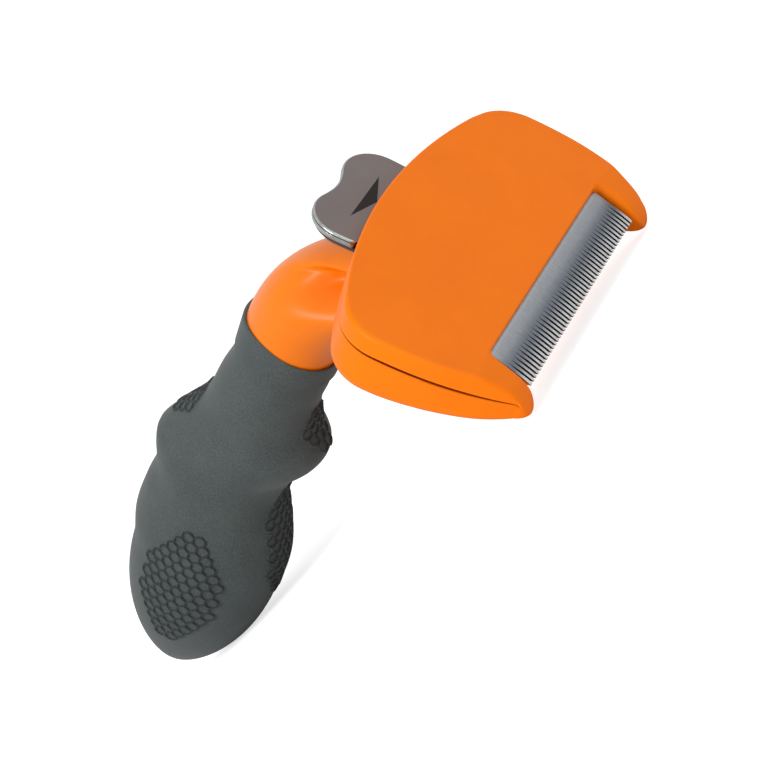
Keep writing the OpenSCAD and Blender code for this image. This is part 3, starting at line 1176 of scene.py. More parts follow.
@dataclass
class RearShell:
    """Back of the head: rounded back, tongue in the seam and four screw wells."""

    form: HeadForm
    # reach and depth of the rounded back edge: rear edge, corners and sides, guards
    back_r: float = 6.2
    back_depth: float = 7.0
    corner_r: float = 3.2
    corner_depth: float = 3.8
    guard_r: float = 2.1
    guard_depth: float = 3.4
    # where the rim stands back for the pusher and for the button
    lip_rim: float = 13.9
    window_rim: float = 10.5
    # height and how deep the back is there
    back: tuple[tuple[float, float], ...] = (
        (-13.6, 7.6), (-12.6, 8.4), (-11.5, 9.1), (-10.2, 9.8), (-8.8, 10.4), (-6.6, 11.2),
        (-4.4, 11.9), (-2.2, 12.5), (0.0, 13.0), (2.5, 13.5), (5.0, 14.0), (7.5, 14.5),
        (10.0, 14.9), (12.5, 15.3), (15.5, 15.7), (18.5, 16.0), (24.0, 16.2),
    )
    wells: tuple[tuple[float, float], ...] = ((38.2, 25.5), (37.2, 7.5))
    well_r: float = 2.8
    well_floor: float = 14.0
    # the tongue, from the outer skin, and the broken outer edge
    tongue_in: float = 1.05
    tongue_out: float = 1.0
    tongue_slack: float = 0.3
    edge_r: float = 0.06
    round_steps: int = 10

    def radii(self, i: int) -> tuple[float, float]:
        """Read the size of the rounded back edge.

        Args:
            i: number of the spot.

        Returns:
            How far the rounding reaches inward and in depth.
        """
        x, z, edge = self.form.spots[i]
        corner = (self.corner_r, self.corner_depth)
        guard = (self.guard_r, self.guard_depth)
        if edge in (Edge.REAR, Edge.CORNER):
            t = smooth_step(24.0, 34.0, abs(x))
            return mix(self.back_r, corner[0], t), mix(self.back_depth, corner[1], t)
        if edge is Edge.SIDE:
            t = smooth_step(-9.0, 11.0, z)
            return mix(guard[0], corner[0], t), mix(guard[1], corner[1], t)
        return guard

    def build(self, shop: Workshop) -> bpy.types.Object:
        """Make the shell.

        Args:
            shop: finishes the piece.

        Returns:
            The piece.
        """
        form = self.form
        rim = form.rim(self.lip_rim, self.window_rim, 1)
        tongue = form.stepped(rim, form.tongue - self.tongue_slack)
        # the wider the slot, the softer the edge beside it
        ease = [
            self.edge_r + 0.25 * (form.gap(i) - form.hairline) for i in range(form.count)
        ]
        wall = form.wall

        def rounded(i: int, a: float, skin_depth: float) -> Vector:
            """Find a spot on the rounded back edge.

            Args:
                i: number of the spot.
                a: angle round the edge, in radians.
                skin_depth: distance inside the outer skin.

            Returns:
                The point.
            """
            r_in, r_deep = self.radii(i)
            r_in = max(0.2, r_in - skin_depth)
            r_deep = max(0.2, r_deep - skin_depth)
            start = max(form.depth - skin_depth - r_deep, rim[i] + 0.3)
            return form.on(
                i,
                skin_depth + r_in * (1 - math.cos(a)),
                start + (form.depth - skin_depth - start) * math.sin(a),
            )

        skin = RingSkin(form.count, lambda i: rounded(i, math.radians(88), wall))
        for step in (60, 30, 0):
            skin.grow(lambda i, a=math.radians(step): rounded(i, a, wall))
        # down the inner wall, over the tongue and the parting face; the tongue and the parting
        # face carry the painted seam shade
        for inset, depths, finish in (
            (wall, tongue, 0), (self.tongue_in, tongue, 1), (self.tongue_out, rim, 1),
        ):
            skin.grow(lambda i, a=inset, d=depths: form.on(i, a, d[i]), finish)
        skin.grow(lambda i: form.on(i, ease[i], rim[i]), 1)
        skin.grow(lambda i: form.on(i, 0.0, rim[i] + ease[i]))
        for k in range(self.round_steps + 1):
            skin.grow(
                lambda i, a=math.radians(90.0 * k / self.round_steps): rounded(i, a, 0.0)
            )
        bm = skin.closed()
        slice_level(bm, self.back)
        # the back bulges from the mouth to the rear
        for vert in bm.verts:
            seam = form.seam(vert.co.z)
            share = (straight(self.back, vert.co.z) - seam) / (form.depth - seam)
            if vert.co.y > seam:
                vert.co.y = seam + (vert.co.y - seam) * share
        piece = shop.finish(
            bm, "head_rear_shell", TOOL, [Finishes.ORANGE_ABS, Finishes.SEAM_SHADE_ABS], ["rear_shell"]
        )
        cutter = bmesh.new()
        add_bores(cutter, self.wells, self.well_r, self.well_floor, 40)
        cut_away(piece, cutter, shop.lay.matrix)
        return piece


# ---- blade ----


@dataclass
class CombBlade:
    """Ground steel plate whose edge is cut into fine teeth by a bevelled wheel."""

    width: float = 67.0
    gaps: int = 47
    gap: float = 0.66
    back: float = 5.0
    top: float = 10.0
    face: tuple[tuple[float, float], ...] = (
        (1.6, 10.0), (1.6, -0.3), (1.72, -0.9), (1.95, -1.9), (2.2, -2.9), (2.5, -4.0),
        (2.8, -5.2), (3.2, -6.8), (3.62, -8.3), (4.05, -9.7), (4.42, -10.7),
    )
    # the edge's small flat, ground square
    nose: tuple[float, float] = (4.62, -10.8)
    nose_back: float = -9.6
    # the cutting wheel and the arc that it sweeps through the edge
    wheel_r: float = 25.0
    wheel_rim: float = 13.0
    wheel_y: float = -17.1
    wheel_z: float = -19.8
    wheel_bevel: float = 1.1
    sweep_start: float = 22.0
    sweep: float = 34.0

    def pitch(self) -> float:
        """Distance from tooth to tooth."""
        return self.width / (self.gaps + 1 - self.gap / 2)

    def plate(self) -> bmesh.types.BMesh:
        """Make the plate before its teeth are cut.

        Returns:
            The plate.
        """
        bm = bmesh.new()
        section = [*self.face, self.nose, (self.back, self.nose_back), (self.back, self.top)]
        outline = [Vector((-self.width / 2, y, z)) for y, z in section]
        slab(bm, outline, Vector((self.width, 0, 0)))
        return bm

    def wheel_cuts(self) -> bmesh.types.BMesh:
        """Make one arc of a bevelled cutting wheel for each gap.

        Returns:
            The cutters, whose faces carry the second material, the painted shade of the gaps.
        """
        cutter = bmesh.new()
        r, g = self.wheel_r, self.gap / 2
        hub, shoulder = r - self.wheel_rim, r - self.wheel_bevel
        section = [(-g, hub), (g, hub), (g, shoulder), (0.0, r), (-g, shoulder)]
        centre = Vector((0.0, self.wheel_y, self.wheel_z))
        start = math.radians(self.sweep_start)
        heading = Vector((0.0, math.cos(start), math.sin(start)))
        for k in range(1, self.gaps + 1):
            x0 = (k - (self.gaps + 1) / 2) * self.pitch()
            verts = [
                cutter.verts.new(centre + Vector((x0 + x, 0, 0)) + heading * radius)
                for x, radius in section
            ]
            face = cutter.faces.new(verts)
            bmesh.ops.spin(
                cutter, geom=[face] + verts + list(face.edges), cent=centre,
                axis=(1, 0, 0), angle=math.radians(self.sweep), steps=10,
                use_duplicate=False,
            )
        # the walls that they cut carry the painted shade
        for face in cutter.faces:
            face.material_index = 1
        return cutter

    def build(self, shop: Workshop) -> bpy.types.Object:
        """Make the blade.

        Args:
            shop: finishes the piece.

        Returns:
            The piece.
        """
        piece = shop.finish(
            self.plate(), "comb_blade_steel", TOOL,
            [Finishes.BLADE_STEEL, Finishes.GAP_SHADE_STEEL],
            ["comb_blade"], sharp=25.0,
        )
        cut_away(piece, self.wheel_cuts(), shop.lay.matrix)
        # 0 at the tips of the teeth and 1 at the lip: the steel's painted reflection reads it
        mesh = piece.data
        height = mesh.attributes.new("height", "FLOAT", "POINT")
        back = shop.lay.matrix.inverted()
        tip = self.face[-1][1]
        for vert, item in zip(mesh.vertices, height.data):
            item.value = min(1.0, max(0.0, 1 - (back @ vert.co).z / tip))
        return piece


# ---- button ----


@dataclass
class HeartButton:
    """Push button at the rear edge: lacquered heart cap, bright rim and a backing plate."""

    half_width: float = 16.3
    top: float = 51.6
    lobe_r: float = 8.0
    notch: float = 49.9
    foot: float = 30.5
    foot_half: float = 15.6
    # inside the shells the cap is narrower, to pass between the guide rails
    stem_half: float = 14.0
    stem_top: float = 38.0
    face_y: float = 4.4
    cap_t: float = 2.2
    base_y: float = 7.6
    base_t: float = 1.9
    base_inset: float = 2.3
    screws: tuple[tuple[float, float], ...] = ((6.5, 42.0),)
    screw_well_r: float = 2.15
    screw_well_deep: float = 1.0
    # the printed triangle
    arrow_corners: tuple[tuple[float, float], ...] = ((-8.4, 43.1), (8.4, 43.1), (0.0, 40.0))
    arrow_t: float = 0.3
    arrow_proud: float = 0.02
    arrow_edge: float = 0.012

    def __post_init__(self) -> None:
        """Work out the heart's outline once."""
        half = self._half()
        self.spots = half + [(-x, z) for x, z in reversed(half) if x > 1e-6]
        self.count = len(self.spots)

    def _half(self) -> list[tuple[float, float]]:
        """Lay the right half of the heart, from its foot round the lobe to the notch.

        Returns:
            Offset from the middle and height of each spot.
        """
        centre = (self.half_width - self.lobe_r, self.top - self.lobe_r)
        spots = [(self.foot_half * i / 5, self.foot) for i in range(6)]
        for i in range(1, 8):
            z = mix(self.foot, centre[1], i / 8)
            spots.append((mix(self.foot_half, self.half_width, smooth_step(0, 1, i / 8)), z))
        spots += arc(centre, self.lobe_r, 0, 108, 24)
        end_x, end_z = spots[-1]
        for i in range(1, 9):
            t = i / 8
            spots.append((end_x * (1 - t), mix(end_z, self.notch, math.sin(t * math.pi / 2))))
        return spots

    def on(self, i: int, inset: float, depth: float) -> Vector:
        """Find a point inside the heart's outline.

        Args:
            i: number of the spot.
            inset: distance into the material.
            depth: depth behind the face of the head.

        Returns:
            The point.
        """
        x, z = self.spots[i]
        before, after = self.spots[i - 1], self.spots[(i + 1) % self.count]
        along = Vector((after[0] - before[0], after[1] - before[1])).normalized()
        spot = Vector((x - along.y * inset, depth, z + along.x * inset))
        if z < self.stem_top and abs(spot.x) > self.stem_half:
            spot.x = math.copysign(self.stem_half, spot.x)
        return spot

    def cap(self, shop: Workshop) -> None:
        """Make the lacquered cap with its bright layered rim.

        Args:
            shop: finishes the piece.
        """
        # inset, depth and finish of each ring, from the face to the back
        profile = [
            (0.55, 0.0, 0), (0.42, 0.02, 0), (0.30, 0.07, 1), (0.16, 0.17, 1), (0.07, 0.30, 1),
            (0.03, 0.44, 1), (0.03, 0.56, 1), (0.26, 0.62, 2), (0.28, 0.76, 2), (0.04, 0.84, 2),
            (0.0, 0.95, 1), (0.0, 1.55, 1), (0.06, 1.80, 1), (0.2, 2.02, 1), (0.42, 2.16, 2),
            (0.8, self.cap_t, 2),
        ]
        skin = RingSkin(
            self.count, lambda i: self.on(i, profile[0][0], self.face_y + profile[0][1])
        )
        for inset, depth, finish in profile[1:]:
            skin.grow(lambda i, a=inset, d=depth: self.on(i, a, self.face_y + d), finish)
        shop.finish(
            skin.closed(2), "button_heart_cap", EJECTOR,
            [Finishes.BUTTON_PAINT, Finishes.BUTTON_RIM, Finishes.BUTTON_BACK],
            ["button_cap"], sharp=50.0,
        )

    def backing(self, shop: Workshop) -> None:
        """Make the plate behind the groove, with two screw wells.

        Args:
            shop: finishes the piece.
        """
        inset, depth = self.base_inset, self.base_y
        # extra inset and depth of each ring, from its front to its back
        profile = [
            (0.35, 0.0), (0.08, 0.06), (0.0, 0.25), (0.0, 1.1), (0.2, 1.55), (0.6, 1.82),
            (1.1, self.base_t),
        ]
        skin = RingSkin(self.count, lambda i: self.on(i, inset + 0.8, depth))
        for extra, rise in profile:
            skin.grow(lambda i, a=inset + extra, d=depth + rise: self.on(i, a, d))
        piece = shop.finish(
            skin.closed(), "button_backing_plate", EJECTOR, [Finishes.BUTTON_BACK],
            ["button_base"],
        )
        cutter = bmesh.new()
        floor = depth + self.base_t - self.screw_well_deep
        add_bores(cutter, self.screws, self.screw_well_r, floor, 32)
        cut_away(piece, cutter, shop.lay.matrix)

    def arrow(self, shop: Workshop) -> None:
        """Print a plain triangle that points the way the button is pushed.

        Args:
            shop: finishes the piece.
        """
        bm = bmesh.new()
        level = self.face_y - self.arrow_proud
        outline = [Vector((x, level, z)) for x, z in self.arrow_corners]
        verts = slab(bm, outline, Vector((0, self.arrow_t, 0)))
        edges = list({e for v in verts for e in v.link_edges})
        bmesh.ops.bevel(
            bm, geom=edges, offset=self.arrow_edge, offset_type="OFFSET", segments=1,
            profile=0.5, affect="EDGES", material=-1,
        )
        shop.finish(bm, "button_arrow", EJECTOR, [Finishes.ARROW_INK])

    def build(self, shop: Workshop) -> None:
        """Make the button's pieces.

        Args:
            shop: finishes the pieces.
        """
        self.cap(shop)
        self.backing(shop)
        self.arrow(shop)


# ---- neck ----


@dataclass
class Neck:
    """Elbow from the back of the head into the grip, scooped on both sides."""

    handle_z: float = 49.0
    bend: float = 50.0
    elbow_r: float = 28.0
    elbow_y: float = 50.0
    inside: float = 27.0
    end_y: float = 56.0
    widths: tuple[tuple[float, float, float], ...] = (
        (-27.0, 17.4, 12.6), (-18.0, 16.4, 12.2), (-9.0, 14.8, 11.6), (0.0, 13.8, 11.2),
        (12.0, 13.0, 11.6), (24.4, 12.2, 11.6), (31.0, 12.1, 12.0),
    )
    # a crease along each shoulder: its angle off the top at the head and at the grip
    crease_head: float = 44.0
    crease_grip: float = 8.0
    crease_from: float = -6.0
    crease_run: float = 18.0
    # the scoop below it, and the hollow in the inside of the bend
    scoop: float = 5.0
    scoop_end: float = 15.0
    scoop_full: float = -3.0
    scoop_deep: float = 0.35
    hollow: float = 3.6
    hollow_s: float = -1.0
    hollow_run: float = 6.0
    hollow_angle: float = 60.0
    hollow_spread: float = 20.0
    # the part of the sheet that closes each end, and the depth where the neck starts
    closing: float = 0.02
    root_y: float = 14.0
    along: int = 110
    around: int = 160

    def centre(self, s: float) -> tuple[Vector, float]:
        """Centre line and bend angle at a distance from the start of the elbow.

        Args:
            s: distance along the centre line; negative towards the head.

        Returns:
            The point and the angle left to turn, in radians.
        """
        bend = math.radians(self.bend)
        arc_length = bend * self.elbow_r
        angle = bend * (1 - min(1.0, max(0.0, s / arc_length)))
        y = self.elbow_y - self.elbow_r * math.sin(angle)
        z = self.handle_z - self.elbow_r * (1 - math.cos(angle))
        if s < 0:
            y += s * math.cos(bend)
            z += s * math.sin(bend)
        elif s > arc_length:
            y += s - arc_length
        return Vector((0.0, y, z)), angle

    def surface(self, u: float, v: float) -> Vector:
        """Find a place on the neck.

        Args:
            u: share of the way along it.
            v: share of the way round it.

        Returns:
            The place.
        """
        arc_length = math.radians(self.bend) * self.elbow_r
        length = self.inside + arc_length + (self.end_y - self.elbow_y)
        share = (u - self.closing) / (1 - 2 * self.closing)
        s = -self.inside + length * min(1.0, max(0.0, share))
        middle, angle = self.centre(s)
        wide = curve(self.widths, 1, s)
        deep = curve(self.widths, 2, s)
        open_end = smooth_step(0.0, self.closing, u) * smooth_step(1.0, 1 - self.closing, u)
        a = v * math.tau
        x, out = math.cos(a), math.sin(a)
        # degrees off the top of the neck, on either side
        below = abs(math.degrees(math.atan2(x, out)))
        run = min(1.0, max(0.0, (s - self.crease_from) / self.crease_run))
        crease = mix(self.crease_head, self.crease_grip, run)
        # the scoop starts just under the crease and ends round the side
        scoop = self.scoop * smooth_step(self.scoop_end, self.scoop_full, s)
        scoop *= smooth_step(crease - 1.0, crease + 11.0, below)
        scoop *= smooth_step(crease + 78.0, crease + 26.0, below)
        scoop += self.hollow * math.exp(
            -((s - self.hollow_s) / self.hollow_run) ** 2
            - ((below - self.hollow_angle) / self.hollow_spread) ** 2
        )
        x *= (wide - scoop) * open_end
        out *= (deep - self.scoop_deep * scoop) * open_end
        return middle + Vector((x, -out * math.sin(angle), out * math.cos(angle)))

    def build(self, shop: Workshop) -> bpy.types.Object:
        """Make the neck.

        Args:
            shop: finishes the piece.

        Returns:
            The piece.
        """
        bm = wrapped_sheet(self.along, self.around, self.surface)
        bmesh.ops.bisect_plane(
            bm, geom=bm.verts[:] + bm.edges[:] + bm.faces[:], plane_co=(0, self.root_y, 0),
            plane_no=(0, -1, 0), dist=1e-5, clear_outer=True,
        )
        open_edges = [e for e in bm.edges if len(e.link_faces) == 1]
        bmesh.ops.edgeloop_fill(bm, edges=open_edges)
        return shop.finish(
            bm, "elbow_neck", TOOL, [Finishes.NECK_ABS], ["neck"], sharp=60.0, weighted=False
        )


# ---- grip ----


@dataclass(frozen=True)
class HexPatch:
    """A patch of engraved hexagons: their number in each column and the side they are on."""

    centre_y: float
    columns: tuple[int, ...]
    angle: float
    across: Callable[[Vector], float]
    pitch: float = 2.9


@dataclass
class Grip:
    """Soft sleeve: collar, thumb and finger flares, palm bulb and engraved grip patches."""

    handle_z: float = 49.0
    end_y: float = 165.0
    bulb_y: float = 126.0
    collar_y: float = 48.2
    collar_slope: float = 0.30
    collar_bow: float = 0.024
    bore_r: float = 12.45
    dome: float = 0.72
    dome_z: float = 3.55
    # depth, lowest and highest place off the handle's line, and half width
    stations: tuple[tuple[float, float, float, float], ...] = (
        (42.0, -12.1, 11.2, 12.4),
        (58.0, -11.5, 12.0, 13.0),
        (66.0, -10.9, 13.8, 13.2),
        (74.0, -12.6, 15.0, 13.6),
        (78.0, -16.4, 16.3, 14.0),
        (84.0, -15.5, 19.8, 14.6),
        (91.0, -11.0, 24.2, 15.1),
        (94.0, -10.2, 24.1, 15.3),
        (100.0, -10.1, 22.5, 15.9),
        (108.0, -12.9, 23.5, 16.9),
        (117.0, -15.2, 24.0, 17.7),
        (126.0, -15.3, 22.5, 18.0),
    )
    # rounded rim of the collar and the depth of the bore behind it
    rim_steps: int = 5
    rim_swell: float = 0.45
    bore_y: float = 56.3
    # the sheet's rings stand closer together over the last part of the bulb
    along: int = 128
    around: int = 100
    end_share: float = 0.8
    end_from: float = 140.0
    # engraved grooves, and the depths between which they lie
    groove_depth: float = 0.6
    groove_half: float = 0.38
    groove_from: float = 60.0
    groove_to: float = 152.0
    side_y: float = 125.8
    side_z: float = 53.1

    def __post_init__(self) -> None:
        """List the engraved patches."""
        side = (2, 3, 4, 5, 6, 7, 6, 7, 6, 7, 6, 5, 4, 3, 2)
        flare = (2, 3, 4, 3, 2)
        palm = (2, 3, 4, 5, 4, 5, 4, 5, 4, 5, 4, 3, 2)
        self.patches = (
            HexPatch(self.side_y, side, 180.0, lambda p: p.z - self.side_z),
            HexPatch(self.side_y, side, 0.0, lambda p: p.z - self.side_z),
            HexPatch(110.8, palm, -90.0, lambda p: p.x),
            HexPatch(73.0, flare, -90.0, lambda p: p.x),
            HexPatch(81.4, flare, 90.0, lambda p: p.x),
        )
        self.rulers = [self._ruler(patch.angle) for patch in self.patches]
        self.cells = [
            self._cells(patch, ruler) for patch, ruler in zip(self.patches, self.rulers)
        ]

    def ring(self, y: float) -> tuple[float, float, float]:
        """Read the grip's section.

        Args:
            y: depth along the handle.

        Returns:
            Its lowest and highest place off the handle's line, and its half width.
        """
        if y <= self.bulb_y:
            low, high, half = (curve(self.stations, column, y) for column in (1, 2, 3))
            return low, high, half
        t = min(1.0, (y - self.bulb_y) / (self.end_y - self.bulb_y))
        k = max(0.0, 1 - t * t) ** self.dome
        _, low, high, half = self.stations[-1]
        return mix(self.dome_z, low, k), mix(self.dome_z, high, k), half * k

    def body(self, y: float, angle: float) -> Vector:
        """Smooth surface of the grip, before the collar and the patches.

        Args:
            y: depth along the handle.
            angle: place round it, in radians from +X towards +Z.

        Returns:
            The position.
        """
        low, high, half = self.ring(y)
        middle, reach = (low + high) / 2, (high - low) / 2
        return Vector((
            half * math.cos(angle), y, self.handle_z + middle + reach * math.sin(angle)
        ))

    def _ruler(self, degrees: float) -> list[tuple[float, float]]:
        """Measure along the surface on one line of the handle.

        Args:
            degrees: place of the line round the handle.

        Returns:
            Pairs of depth and distance along the surface.
        """
        angle = math.radians(degrees)
        marks, length = [], 0.0
        y = self.groove_from
        before = self.body(y, angle)
        while y < self.groove_to:
            here = self.body(y, angle)
            length += (here - before).length
            marks.append((y, length))
            before = here
            y += 0.5
        return marks

    def _cells(
        self, patch: HexPatch, ruler: list[tuple[float, float]]
    ) -> list[tuple[float, float]]:
        """Lay out a patch's hexagons.

        Args:
            patch: the patch.
            ruler: pairs of depth and distance along the surface.

        Returns:
            The centres, as distance along the surface and across it.
        """
        start = straight(ruler, patch.centre_y)
        step = patch.pitch * math.cos(math.radians(30.0))
        cells = []
        for c, count in enumerate(patch.columns):
            along = start + (c - (len(patch.columns) - 1) / 2) * step
            cells += [(along, (k - (count - 1) / 2) * patch.pitch) for k in range(count)]
        return cells

    def offsets(
        self, point: Vector, angle: float
    ) -> Iterator[tuple[HexPatch, list[tuple[float, float]]]]:
        """Go through the patches on this side of the grip.

        Args:
            point: place on the smooth surface.
            angle: its place round the handle, in radians.

        Yields:
            Each patch with the place's offsets from its cells, along and across.
        """
        if not self.groove_from < point.y < self.groove_to:
            return
        for patch, ruler, cells in zip(self.patches, self.rulers, self.cells):
            if math.cos(angle - math.radians(patch.angle)) < 0.3:
                continue
            along, across = straight(ruler, point.y), patch.across(point)
            yield patch, [(along - a, across - b) for a, b in cells]

    def engraving(self, point: Vector, angle: float) -> float:
        """Read how deep the engraved grooves are.

        Args:
            point: place on the smooth surface.
            angle: its place round the handle, in radians.

        Returns:
            The depth to sink it by, in millimetres.
        """
        for patch, offsets in self.offsets(point, angle):
            near = min(abs(self.cell_distance(a, b, patch.pitch)) for a, b in offsets)
            if near < self.groove_half:
                return self.groove_depth * (1 - smooth_step(0.25, 1.0, near / self.groove_half))
        return 0.0

    @staticmethod
    def cell_distance(a: float, b: float, pitch: float) -> float:
        """Signed distance from the wall of a rounded hexagon.

        Args:
            a: offset from its centre along the handle.
            b: offset from its centre across.
            pitch: distance between neighbouring centres.

        Returns:
            Negative inside, positive outside.
        """
        flat = max(
            abs(b),
            abs(a * math.cos(math.radians(30)) + b * 0.5),
            abs(a * math.cos(math.radians(30)) - b * 0.5),
        )
        return 0.4 * flat + 0.6 * math.hypot(a, b) * 0.96 - pitch * 0.485

    def depth_at(self, u: float) -> float:
        """Read the depth of a ring of the sheet.

        Args:
            u: share of the way along the sheet.

        Returns:
            The depth along the handle.
        """
        if u < self.end_share:
            return mix(self.collar_y, self.end_from, u / self.end_share)
        t = (u - self.end_share) / (1 - self.end_share)
        return mix(self.end_from, self.end_y, math.sin(t * math.pi / 2))

    def surface(self, u: float, v: float) -> Vector:
        """Find a place on the grip.

        Args:
            u: share of the way along it.
            v: share of the way round it.

        Returns:
            The place.
        """
        angle = v * math.tau
        y = self.depth_at(u)
        point = self.body(y, angle)
        sunk = self.engraving(point, angle)
        if sunk > 0:
            step, turn = 0.2, 0.02
            along = self.body(y + step, angle) - self.body(y - step, angle)
            round_it = self.body(y, angle + turn) - self.body(y, angle - turn)
            point += along.cross(round_it).normalized() * sunk
        return self.lean(point, y)

    def lean(self, point: Vector, y: float) -> Vector:
        """Lean the rings near the collar back, to follow its slanted rim.

        Args:
            point: the place, which is moved.
            y: depth of its ring.

        Returns:
            The moved place.
        """
        fade = smooth_step(72.0, self.collar_y, y)
        rise = point.z - self.handle_z
        point.y += (self.collar_bow * max(0.0, rise) ** 2 - self.collar_slope * rise) * fade
        return point

    def in_groove(self, u: float, v: float) -> bool:
        """Whether a place of the sheet lies in an engraved groove, where the painted shade goes.
        """
        angle = v * math.tau
        return self.engraving(self.body(self.depth_at(u), angle), angle) > 0.3 * self.groove_depth

    def fine(self, u: float, v: float) -> bool:
        """Say which places of the sheet lie on or beside an engraved patch.

        Args:
            u: share of the way along the sheet.
            v: share of the way round it.

        Returns:
            Whether this place does.
        """
        angle = v * math.tau
        patches = self.offsets(self.body(self.depth_at(u), angle), angle)
        return any(
            min(math.hypot(a, b) for a, b in offsets) < 0.75 * patch.pitch
            for patch, offsets in patches
        )

    def build(self, shop: Workshop) -> bpy.types.Object:
        """Make the grip.

        Args:
            shop: finishes the piece.

        Returns:
            The piece.
        """
        # faces in the engraved grooves get the painted groove shade
        bm = wrapped_sheet(
            self.along, self.around, self.surface, self.fine, 5, self.in_groove
        )
        rim = [e for e in bm.edges if len(e.link_faces) == 1]
        # rounded rim, then the bore that the neck stands in
        for k in range(1, self.rim_steps + 3):
            _, fresh, rim = extrude_rim(bm, rim)
            for vert in fresh:
                angle = math.atan2(vert.co.z - self.handle_z, vert.co.x)
                vert.co = self.rim_point(angle, k)
        bmesh.ops.edgeloop_fill(bm, edges=rim)
        return shop.finish(
            bm, "soft_grip_sleeve", TOOL, [Finishes.SOFT_GRIP, Finishes.GROOVE_SHADE_RUBBER],
            ["grip_sleeve"], sharp=65.0, weighted=False,
        )

    def rim_point(self, angle: float, k: int) -> Vector:
        """Find a place on the collar's rounded rim or in its bore.

        Args:
            angle: place round the rim, in radians.
            k: number of the ring, from the outside in.

        Returns:
            The place.
        """
        outside = self.body(self.collar_y, angle)
        inner = Vector((
            self.bore_r * math.cos(angle), self.collar_y,
            self.handle_z + self.bore_r * math.sin(angle),
        ))
        if k <= self.rim_steps:
            a = math.pi * k / self.rim_steps
            point = outside.lerp(inner, (1 - math.cos(a)) / 2)
            point.y = self.collar_y - self.rim_swell * math.sin(a)
            return self.lean(point, self.collar_y)
        inner = self.lean(inner, self.collar_y)
        inner.y = inner.y + 1.0 if k == self.rim_steps + 1 else self.bore_y
        return inner


# ---- parts kept from the construction model ----


class KeptParts:
    """Construction parts whose shape is right and that only need their finish."""

    DRESS: dict[Finishes, tuple[str, ...]] = {
        Finishes.ZINC_STEEL: (
            "core_screws", "blade_clamp", "blade_screws", "ejector_screws", "button_screws",
            "spring_pin_left", "spring_pin_right", "case_screws", "neck_screws",
        ),
        Finishes.BLACK_NYLON: (
            "handle_core_left", "handle_core_right", "ejector_carriage",
        ),
        Finishes.GREY_ABS: ("ejector_plate",),
        Finishes.SPRING_WIRE: ("return_spring_left", "return_spring_right"),
        Finishes.ACETAL: ("guide_rail_left", "guide_rail_right"),
        Finishes.STOP_RUBBER: ("stop_bumpers",),
    }

    def build(self, shop: Workshop, nodes: dict[str, bpy.types.Object]) -> None:
        """Dress every kept part.

        Args:
            shop: holds the finishes.
            nodes: the construction parts by name.
        """
        for finish, names in self.DRESS.items():
            for name in names:
                mesh = nodes[name].data
                if not mesh.materials:
                    mesh.materials.append(None)
                for k in range(len(mesh.materials)):
                    mesh.materials[k] = shop.shelf.take(finish)
                LOG.info("%s: finish %s", name, finish.value.name)


# ---- studio ----


@dataclass
class SoftBox:
    """One soft lamp, placed by the camera's right, up and back directions."""

    name: str
    right: float
    up: float
    back: float
    size: float
    power: float


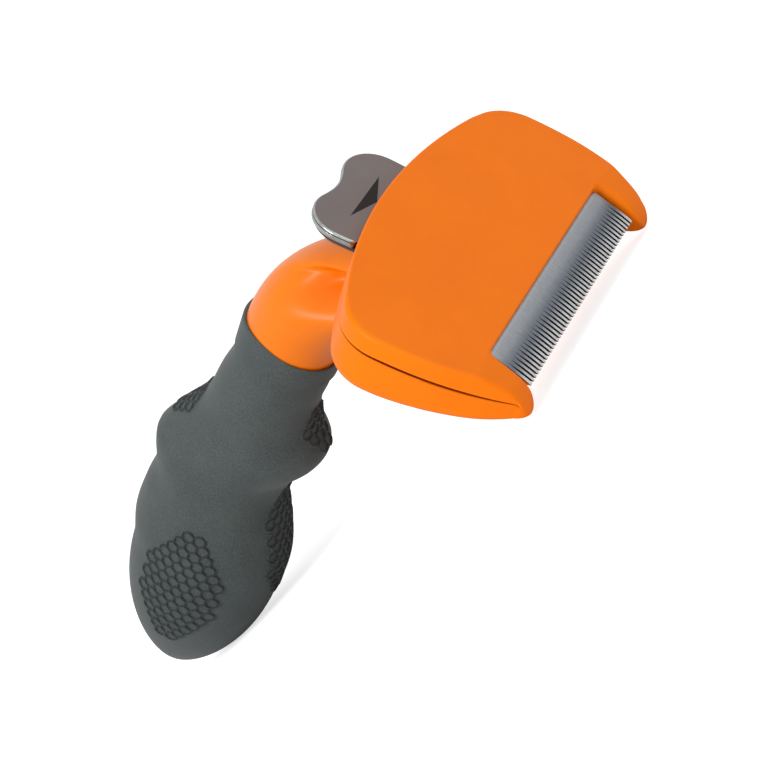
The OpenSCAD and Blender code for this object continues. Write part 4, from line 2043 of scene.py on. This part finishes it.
@dataclass
class Studio:
    """Camera, lamps, pale floor and white surroundings."""

    lens: float = 160.0
    sensor: float = 36.0
    # the camera's place and its directions, in the head's own frame
    eye: tuple[float, float, float] = (-580.65, -463.99, -74.64)
    right: tuple[float, float, float] = (0.3755, -0.2488, -0.8929)
    back: tuple[float, float, float] = (-0.7416, -0.6589, -0.1278)
    aim: tuple[float, float, float] = (0.0, 40.0, 25.0)
    lamps: tuple[SoftBox, ...] = (
        SoftBox("key_softbox", -0.85, -0.15, 0.85, 0.6, 8.6),
        SoftBox("top_softbox", 0.35, 1.0, 0.45, 0.8, 1.7),
        SoftBox("fill_softbox", 0.9, -0.35, 0.6, 0.7, 0.8),
    )
    lowest_lamp: float = 0.08
    # strength of the world on the object; where it is seen or mirrored it is plain white
    world_light: float = 0.55
    floor_half: float = 6.0
    floor_drop: float = 0.0002
    floor_paint: float = 0.75
    floor_lift: float = 0.68

    def camera(self, lay: HeadFrame) -> bpy.types.Object:
        """Set up the camera.

        Args:
            lay: the head's frame.

        Returns:
            The camera.
        """
        data = bpy.data.cameras.new("studio_camera")
        data.lens = self.lens
        data.sensor_width = self.sensor
        data.clip_start = 0.05
        data.clip_end = 50.0
        camera = place_object("studio_camera", data)
        right, back = lay.direction(*self.right), lay.direction(*self.back)
        up = back.cross(right).normalized()
        right = up.cross(back).normalized()
        turn = Matrix((right, up, back)).transposed().to_4x4()
        camera.matrix_world = Matrix.Translation(lay.point(*self.eye)) @ turn
        bpy.context.scene.camera = camera
        return camera

    def light(self, camera: bpy.types.Object, aim: Vector) -> None:
        """Hang the lamps round the object.

        Args:
            camera: gives the directions.
            aim: point that they face.
        """
        axes = camera.matrix_world.to_3x3()
        for box in self.lamps:
            data = bpy.data.lights.new(box.name, "AREA")
            data.shape = "SQUARE"
            data.size = box.size
            data.energy = box.power
            lamp = place_object(box.name, data)
            place = aim + axes @ Vector((box.right, box.up, box.back))
            place.z = max(place.z, self.lowest_lamp)
            lamp.location = place
            lamp.rotation_euler = (place - aim).to_track_quat("Z", "Y").to_euler()

    def surroundings(self) -> None:
        """Light the object plainly from all round, in front of plain white."""
        world = bpy.data.worlds.new("white_studio")
        bpy.context.scene.world = world
        world.use_nodes = True
        tree = world.node_tree
        tree.nodes.clear()
        rays = add_node(tree, "ShaderNodeLightPath").outputs
        seen = rays["Is Camera Ray"]
        for other in ("Is Glossy Ray", "Is Transmission Ray"):
            either = add_node(
                tree, "ShaderNodeMath", {"operation": "MAXIMUM"}, links={0: seen, 1: rays[other]}
            )
            seen = either.outputs["Value"]
        strength = add_node(
            tree, "ShaderNodeMapRange", values={"To Min": self.world_light, "To Max": 1.0},
            links={"Value": seen},
        )
        sky = add_node(
            tree, "ShaderNodeBackground", values={"Color": (1.0, 1.0, 1.0, 1.0)},
            links={"Strength": strength.outputs["Result"]},
        )
        add_node(tree, "ShaderNodeOutputWorld", links={"Surface": sky.outputs["Background"]})

    def floor(self) -> None:
        """Lay a pale floor that is lifted to white for the camera and keeps the shadow."""
        bm = bmesh.new()
        bmesh.ops.create_grid(bm, x_segments=2, y_segments=2, size=self.floor_half)
        bmesh.ops.translate(bm, verts=bm.verts, vec=(0.0, 0.0, -self.floor_drop))
        floor = place_mesh("studio_floor", bm)
        # matt white board: no gloss, so that it shows the soft shadow and nothing else
        material, tree, _ = new_material("matt_white_sweep")
        grey = self.floor_paint
        paint = add_node(tree, "ShaderNodeBsdfDiffuse", values={"Color": (grey, grey, grey, 1.0)})
        rays = add_node(tree, "ShaderNodeLightPath")
        lift = add_node(
            tree, "ShaderNodeMath", {"operation": "MULTIPLY"}, values={1: self.floor_lift},
            links={0: rays.outputs["Is Camera Ray"]},
        )
        glow = add_node(
            tree, "ShaderNodeEmission", values={"Color": (1.0, 1.0, 1.0, 1.0)},
            links={"Strength": lift.outputs["Value"]},
        )
        both = add_node(
            tree, "ShaderNodeAddShader",
            links={0: paint.outputs["BSDF"], 1: glow.outputs["Emission"]},
        )
        add_node(tree, "ShaderNodeOutputMaterial", links={"Surface": both.outputs["Shader"]})
        floor.data.materials.append(material)

    def build(self, lay: HeadFrame) -> None:
        """Set up the whole studio.

        Args:
            lay: the head's frame.
        """
        camera = self.camera(lay)
        self.light(camera, lay.point(*self.aim))
        self.surroundings()
        self.floor()
        bpy.context.scene.view_settings.view_transform = "Standard"


def main() -> None:
    """Build the tool and its studio, in order."""
    logging.basicConfig(level=logging.INFO, format="%(message)s")
    lay = HeadFrame(frame["record"])
    shop = Workshop(lay, MaterialShelf())
    Studio().build(lay)
    form = HeadForm()
    FrontShell(form).build(shop)
    RearShell(form).build(shop)
    CombBlade().build(shop)
    HeartButton().build(shop)
    Neck().build(shop)
    Grip().build(shop)
    KeptParts().build(shop, frame["nodes"])
    LOG.info("pieces: %s", ", ".join(shop.made))
    bpy.context.view_layer.update()


if __name__ == "__main__":
    main()
